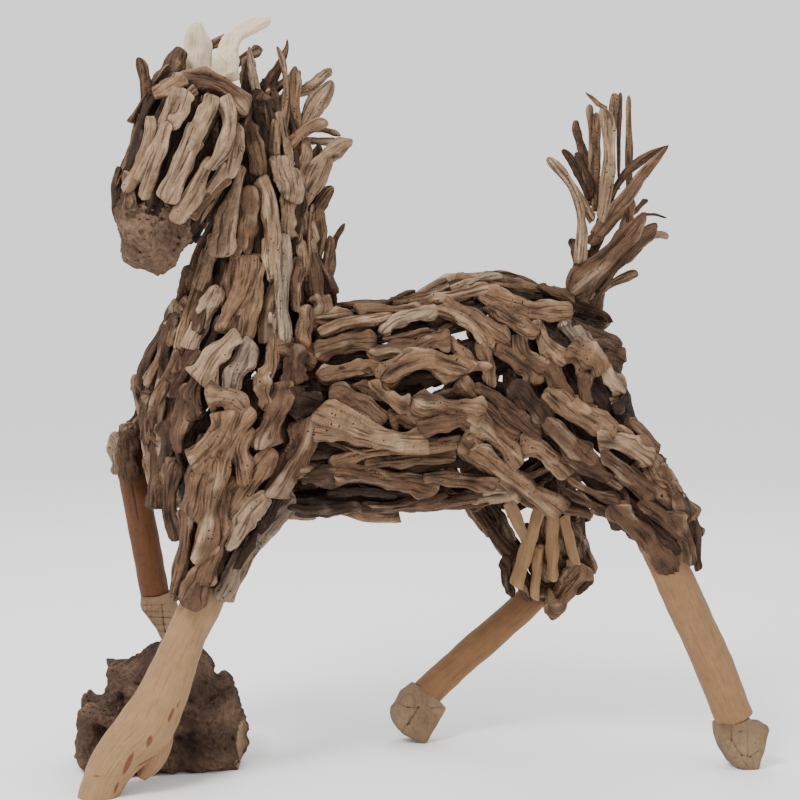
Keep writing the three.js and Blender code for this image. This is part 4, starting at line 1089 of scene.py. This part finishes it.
# Elbow, knee and hock
pile = Pile(51, FINE, wild=0.7)
pile.free(ELBOW, flat=0.6)
sticks("elbow_sticks", pile, ["near_elbow"])
pile = Pile(52)
for foot, tip, width in (
    ((-372, 60, 452), (-338, 92, 446), 30), ((-384, 74, 448), (-372, 74, 392), 26),
    ((-366, 48, 452), (-358, 46, 388), 28), ((-340, 56, 450), (-332, 56, 395), 26),
    ((-336, 96, 450), (-330, 98, 400), 26), ((-364, 102, 450), (-356, 104, 396), 28),
):
    pile.stick(foot, tip, width)
sticks("far_knee_sticks", pile, ["far_knee"])
pile = Pile(53, FINE)
pile.free(FAR_HOCK)
sticks("far_hock_sticks", pile, ["far_hock"])
pile = Pile(54, FINE, wild=0.15)
pile.free(PEELED_RODS, flat=0.95)
sticks("far_gaskin_peeled_sticks", pile, [], PEELED)

# Legs, hooves, block and muzzle
limb("near_foreleg_trunk_peeled", [
    [-262, -80, 330], [-276, -83, 250], [-299, -84, 198], [-330, -85, 122], [-352, -86, 84],
    [-384, -86, 50], [-402, -86, 22], [-416, -86, -12],
], 53, [1, 1, 0.97, 1.2, 1.36, 1.14, 1.02, 0.9], 0.95, PEELED, ["near_foreleg_trunk"], 3,
    tone=0.85, rings=210, around=80, scars=(
    ((-321, -114, 104), (0.35, 0, 0.94), 10, 2.4), ((-349, -114, 74), (0.35, 0, 0.94), 8, 3.6),
    ((-375, -112, 46), (0.38, 0, 0.92), 17, 3.4), ((-352, -114, 45), (0.9, 0, 0.4), 15, 2.2),
    ((-389, -110, 14), (0.35, 0, 0.94), 9, 1.8), ((-312, -114, 116), (0.6, 0, 0.8), 7, 1.2),
    ((-414, -110, 31), (1, 0, 0.1), 5, 0.9), ((-352, -114, 22), (0.2, 0, 1), 4, 1.2),
))
limb("near_foreleg_heel_stub", [[-338, -80, 100], [-337, -78, 62], [-343, -76, 36], [-357, -76, 17]],
     53, [0.8, 0.78, 0.58, 0.24], 1.0, PEELED, [], 5, rings=50, around=40, tone=0.7)
limb("far_foreleg_post_stained", [[-358, 75, 425], [-351, 75, 373], [-325, 75, 226]], 39, [1, 1, 1], 1.0,
     STAINED, ["far_foreleg_post"], 7, swell=0.2,
     scars=(((-352, 56, 350), (0.15, 0, -1), 40, 1.2),))
limb("near_hindleg_post_peeled", [[318, -98, 332], [350, -108, 262], [404, -124, 140], [433, -134, 62]], 52,
     [0.9, 1, 1.02, 1], 1.0, PEELED, ["near_hindleg_post"], 9, swell=0.4, tone=0.5)
limb("far_hindleg_post_peeled", [[275, 98, 258], [202, 99, 184], [104, 100, 104], [60, 100, 66]], 43,
     [1, 1, 1, 1], 1.0, PEELED, ["far_hindleg_post"], 11, swell=0.4, tone=0.2)

# Hooves: piece, CAD node, axis of the grain, seed, middle y, half breadth, outline, carved lines
for name, node, grain, seed, middle, half, outline, creases in (
    ("far_forehoof_carved", "far_forehoof", 0, 21, 75, 25, (
        (-344, 226), (-345, 211), (-337, 199), (-326, 184), (-315, 162), (-304, 164), (-294, 191),
        (-295, 213), (-302, 232),
    ), (
        (-345, 217, -305, 218, 1.1, 0.8), (-342, 209, -305, 207, 0.9, 0.6), (-337, 201, -305, 199, 1.1, 0.9),
        (-329, 190, -305, 190, 0.9, 0.6), (-324, 181, -308, 181, 1.0, 0.8), (-318, 216, -316, 192, 1.0, 1.2),
        (-316, 192, -312, 170, 1.0, 1.2),
    )),
    ("near_hind_hoof_carved", "near_hind_hoof", 2, 22, -136, 24, (
        (405, 60), (406, 44), (412, 27), (426, 5), (439, -3), (454, -6), (460, 0), (464, 15), (470, 34),
        (474, 53), (471, 59), (457, 60), (449, 66), (445, 71), (429, 68), (416, 64),
    ), (
        (417, 66, 416, 43, 1.3, 1.2), (416, 43, 431, 21, 1.3, 1.2), (431, 21, 444, 19, 1.3, 1.4),
        (444, 19, 456, 26, 1.3, 1.4), (426, 53, 431, 53, 1.1, 1.8), (432, 15, 442, 3, 1.0, 0.8),
        (449, 38, 451, 36, 1.2, 0.8),
    )),
    ("far_hind_hoof_carved", "far_hind_hoof", 2, 23, 100, 25, (
        (26, 70), (19, 54), (12, 46), (11, 37), (14, 27), (23, 14), (38, 5), (53, -3), (58, -1), (88, 48),
        (78, 59), (60, 76), (44, 82),
    ), (
        (16, 58, 29, 54, 1.3, 1.2), (29, 54, 46, 53, 1.3, 1.2), (44, 52, 28, 29, 1.8, 2.2),
        (28, 29, 31, 31, 1.2, 1.0), (31, 31, 40, 16, 0.9, 0.8), (56, 58, 64, 51, 1.1, 1.2),
        (64, 51, 80, 52, 1.1, 1.4),
    )),
):
    slab(name, outline, middle, half, 6, CARVED, [node], seed=seed, grain=grain,
         relief=lambda points, out: creased(points, creases, seed))
slab("root_block_eroded", [
    (-434, 40), (-431, 77), (-421, 94), (-402, 90), (-391, 138), (-361, 142), (-334, 161), (-314, 166),
    (-262, 154), (-249, 139), (-249, 120), (-240, 112), (-232, 118), (-219, 104), (-216, 76), (-203, 54),
    (-211, -6), (-253, -6), (-294, -6), (-342, -8), (-402, -6), (-428, 4),
], 57, 78, 5, ROOT, ["root_block"], rings=120, around=280, tone=0.12,
    relief=lambda points, out: eroded(points, out, 31, 12, (
        ((-346, -14, 146), 16, 13), ((-242, 0, 112), 9, 12), ((-400, -10, 66), 9, 6), ((-269, -20, 52), 5, 5),
        ((-250, -20, 36), 4, 5), ((-230, -20, 44), 4, 4), ((-262, -20, 20), 4, 4),
    ), ((-244, -18, 38), 16, 70), saw=((-220, -10, 40), (0.955, -0.28, -0.1))))
slab("muzzle_root_lump", [
    (-379, 751), (-384, 732), (-381, 701), (-374, 675), (-355, 662), (-334, 660), (-308, 670), (-292, 696),
    (-288, 735), (-300, 752), (-340, 757),
], -80, 40, 2.8, ROOT, ["muzzle"], rings=90, around=200, rounding=0.4, tone=0.42,
    relief=lambda points, out: eroded(points, out, 41, 5, (
        ((-361, -116, 680), 5, 8), ((-317, -114, 703), 4, 6), ((-305, -112, 706), 4, 6),
        ((-354, -118, 708), 4, 4), ((-337, -118, 706), 3, 4), ((-337, -118, 714), 3, 4),
        ((-374, -104, 691), 4, 4),
    ), ((-313, -112, 698), 10, 26), size=0.68))

# Mane and tail
clad_sticks("mane_roots", ["mane_top", "mane_middle", "mane_foot"], 61, BREAST, (205, 335), (0.52, 0.97),
            22, 95, skew=12, lift=0, tilt=8, within=(BARREL,))
pile = Pile(63, FINE, wild=0.8)
pile.free(MANE_SEEN, taper=0.5, pale=0.17)
sticks("mane_sticks", pile, [])
pile = Pile(62, FINE, wild=0.7)
pile.free(TAIL_SEEN, taper=0.2, slim=0.87, pale=0.12)
pile.free(TAIL_POINTED, flat=0.8, taper=0.75)
sticks("tail_sticks", pile, ["tail_front", "tail_back"])

# Plain floor, soft studio light and the camera
FLOOR_CORNERS = ((-30, -30), (30, -30), (30, 30), (-30, 30))
SKY_STRENGTH = 1.3
floor_mesh = bpy.data.meshes.new("floor")
floor_mesh.from_pydata([(x, y, 0) for x, y in FLOOR_CORNERS], [], [(0, 1, 2, 3)])
floor = bpy.data.objects.new("floor", floor_mesh)
bpy.context.scene.collection.objects.link(floor)
floor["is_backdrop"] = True
paper = bpy.data.materials.new("plain pale floor")
paper.use_nodes = True
paper.node_tree.nodes["Principled BSDF"].inputs["Base Color"].default_value = colour("#FFFFFF")
paper.node_tree.nodes["Principled BSDF"].inputs["Roughness"].default_value = 0.9
floor_mesh.materials.append(paper)

world = bpy.data.worlds.new("studio")
bpy.context.scene.world = world
world.use_nodes = True
world.node_tree.nodes["Background"].inputs["Color"].default_value = (1.0, 1.0, 1.0, 1.0)
world.node_tree.nodes["Background"].inputs["Strength"].default_value = SKY_STRENGTH


def softbox(name, spot, aim, size, power):
    """A square lamp in metres and watts, at a spot and turned to its aim."""
    lamp = bpy.data.lights.new(name, "AREA")
    lamp.shape = "SQUARE"
    lamp.size = size
    lamp.energy = power
    holder = bpy.data.objects.new(name, lamp)
    holder.location = spot
    reach = np.array(aim) - np.array(spot)
    flat = math.hypot(reach[0], reach[1])
    holder.rotation_euler = (math.atan2(flat, -reach[2]), 0, math.atan2(reach[1], reach[0]) - math.pi / 2)
    bpy.context.scene.collection.objects.link(holder)


softbox("key softbox", (-1.6, -1.7, 2.9), (0, 0, 0.5), 0.9, 96)
softbox("fill softbox", (2.4, -1.8, 1.4), (0, 0, 0.5), 2.0, 8)
softbox("back softbox", (0.5, 2.4, 2.6), (0, 0, 0.6), 1.6, 30)

lens = bpy.data.cameras.new("camera")
lens.sensor_width = 36
lens.lens = lens.sensor_width * FOCAL_PIXELS / (2 * FRAME_MIDDLE)
camera = bpy.data.objects.new("camera", lens)
camera.location = CAMERA_SPOT
camera.rotation_euler = (math.radians(CAMERA_TILT), 0, math.radians(CAMERA_PAN))
bpy.context.scene.collection.objects.link(camera)
bpy.context.scene.camera = camera
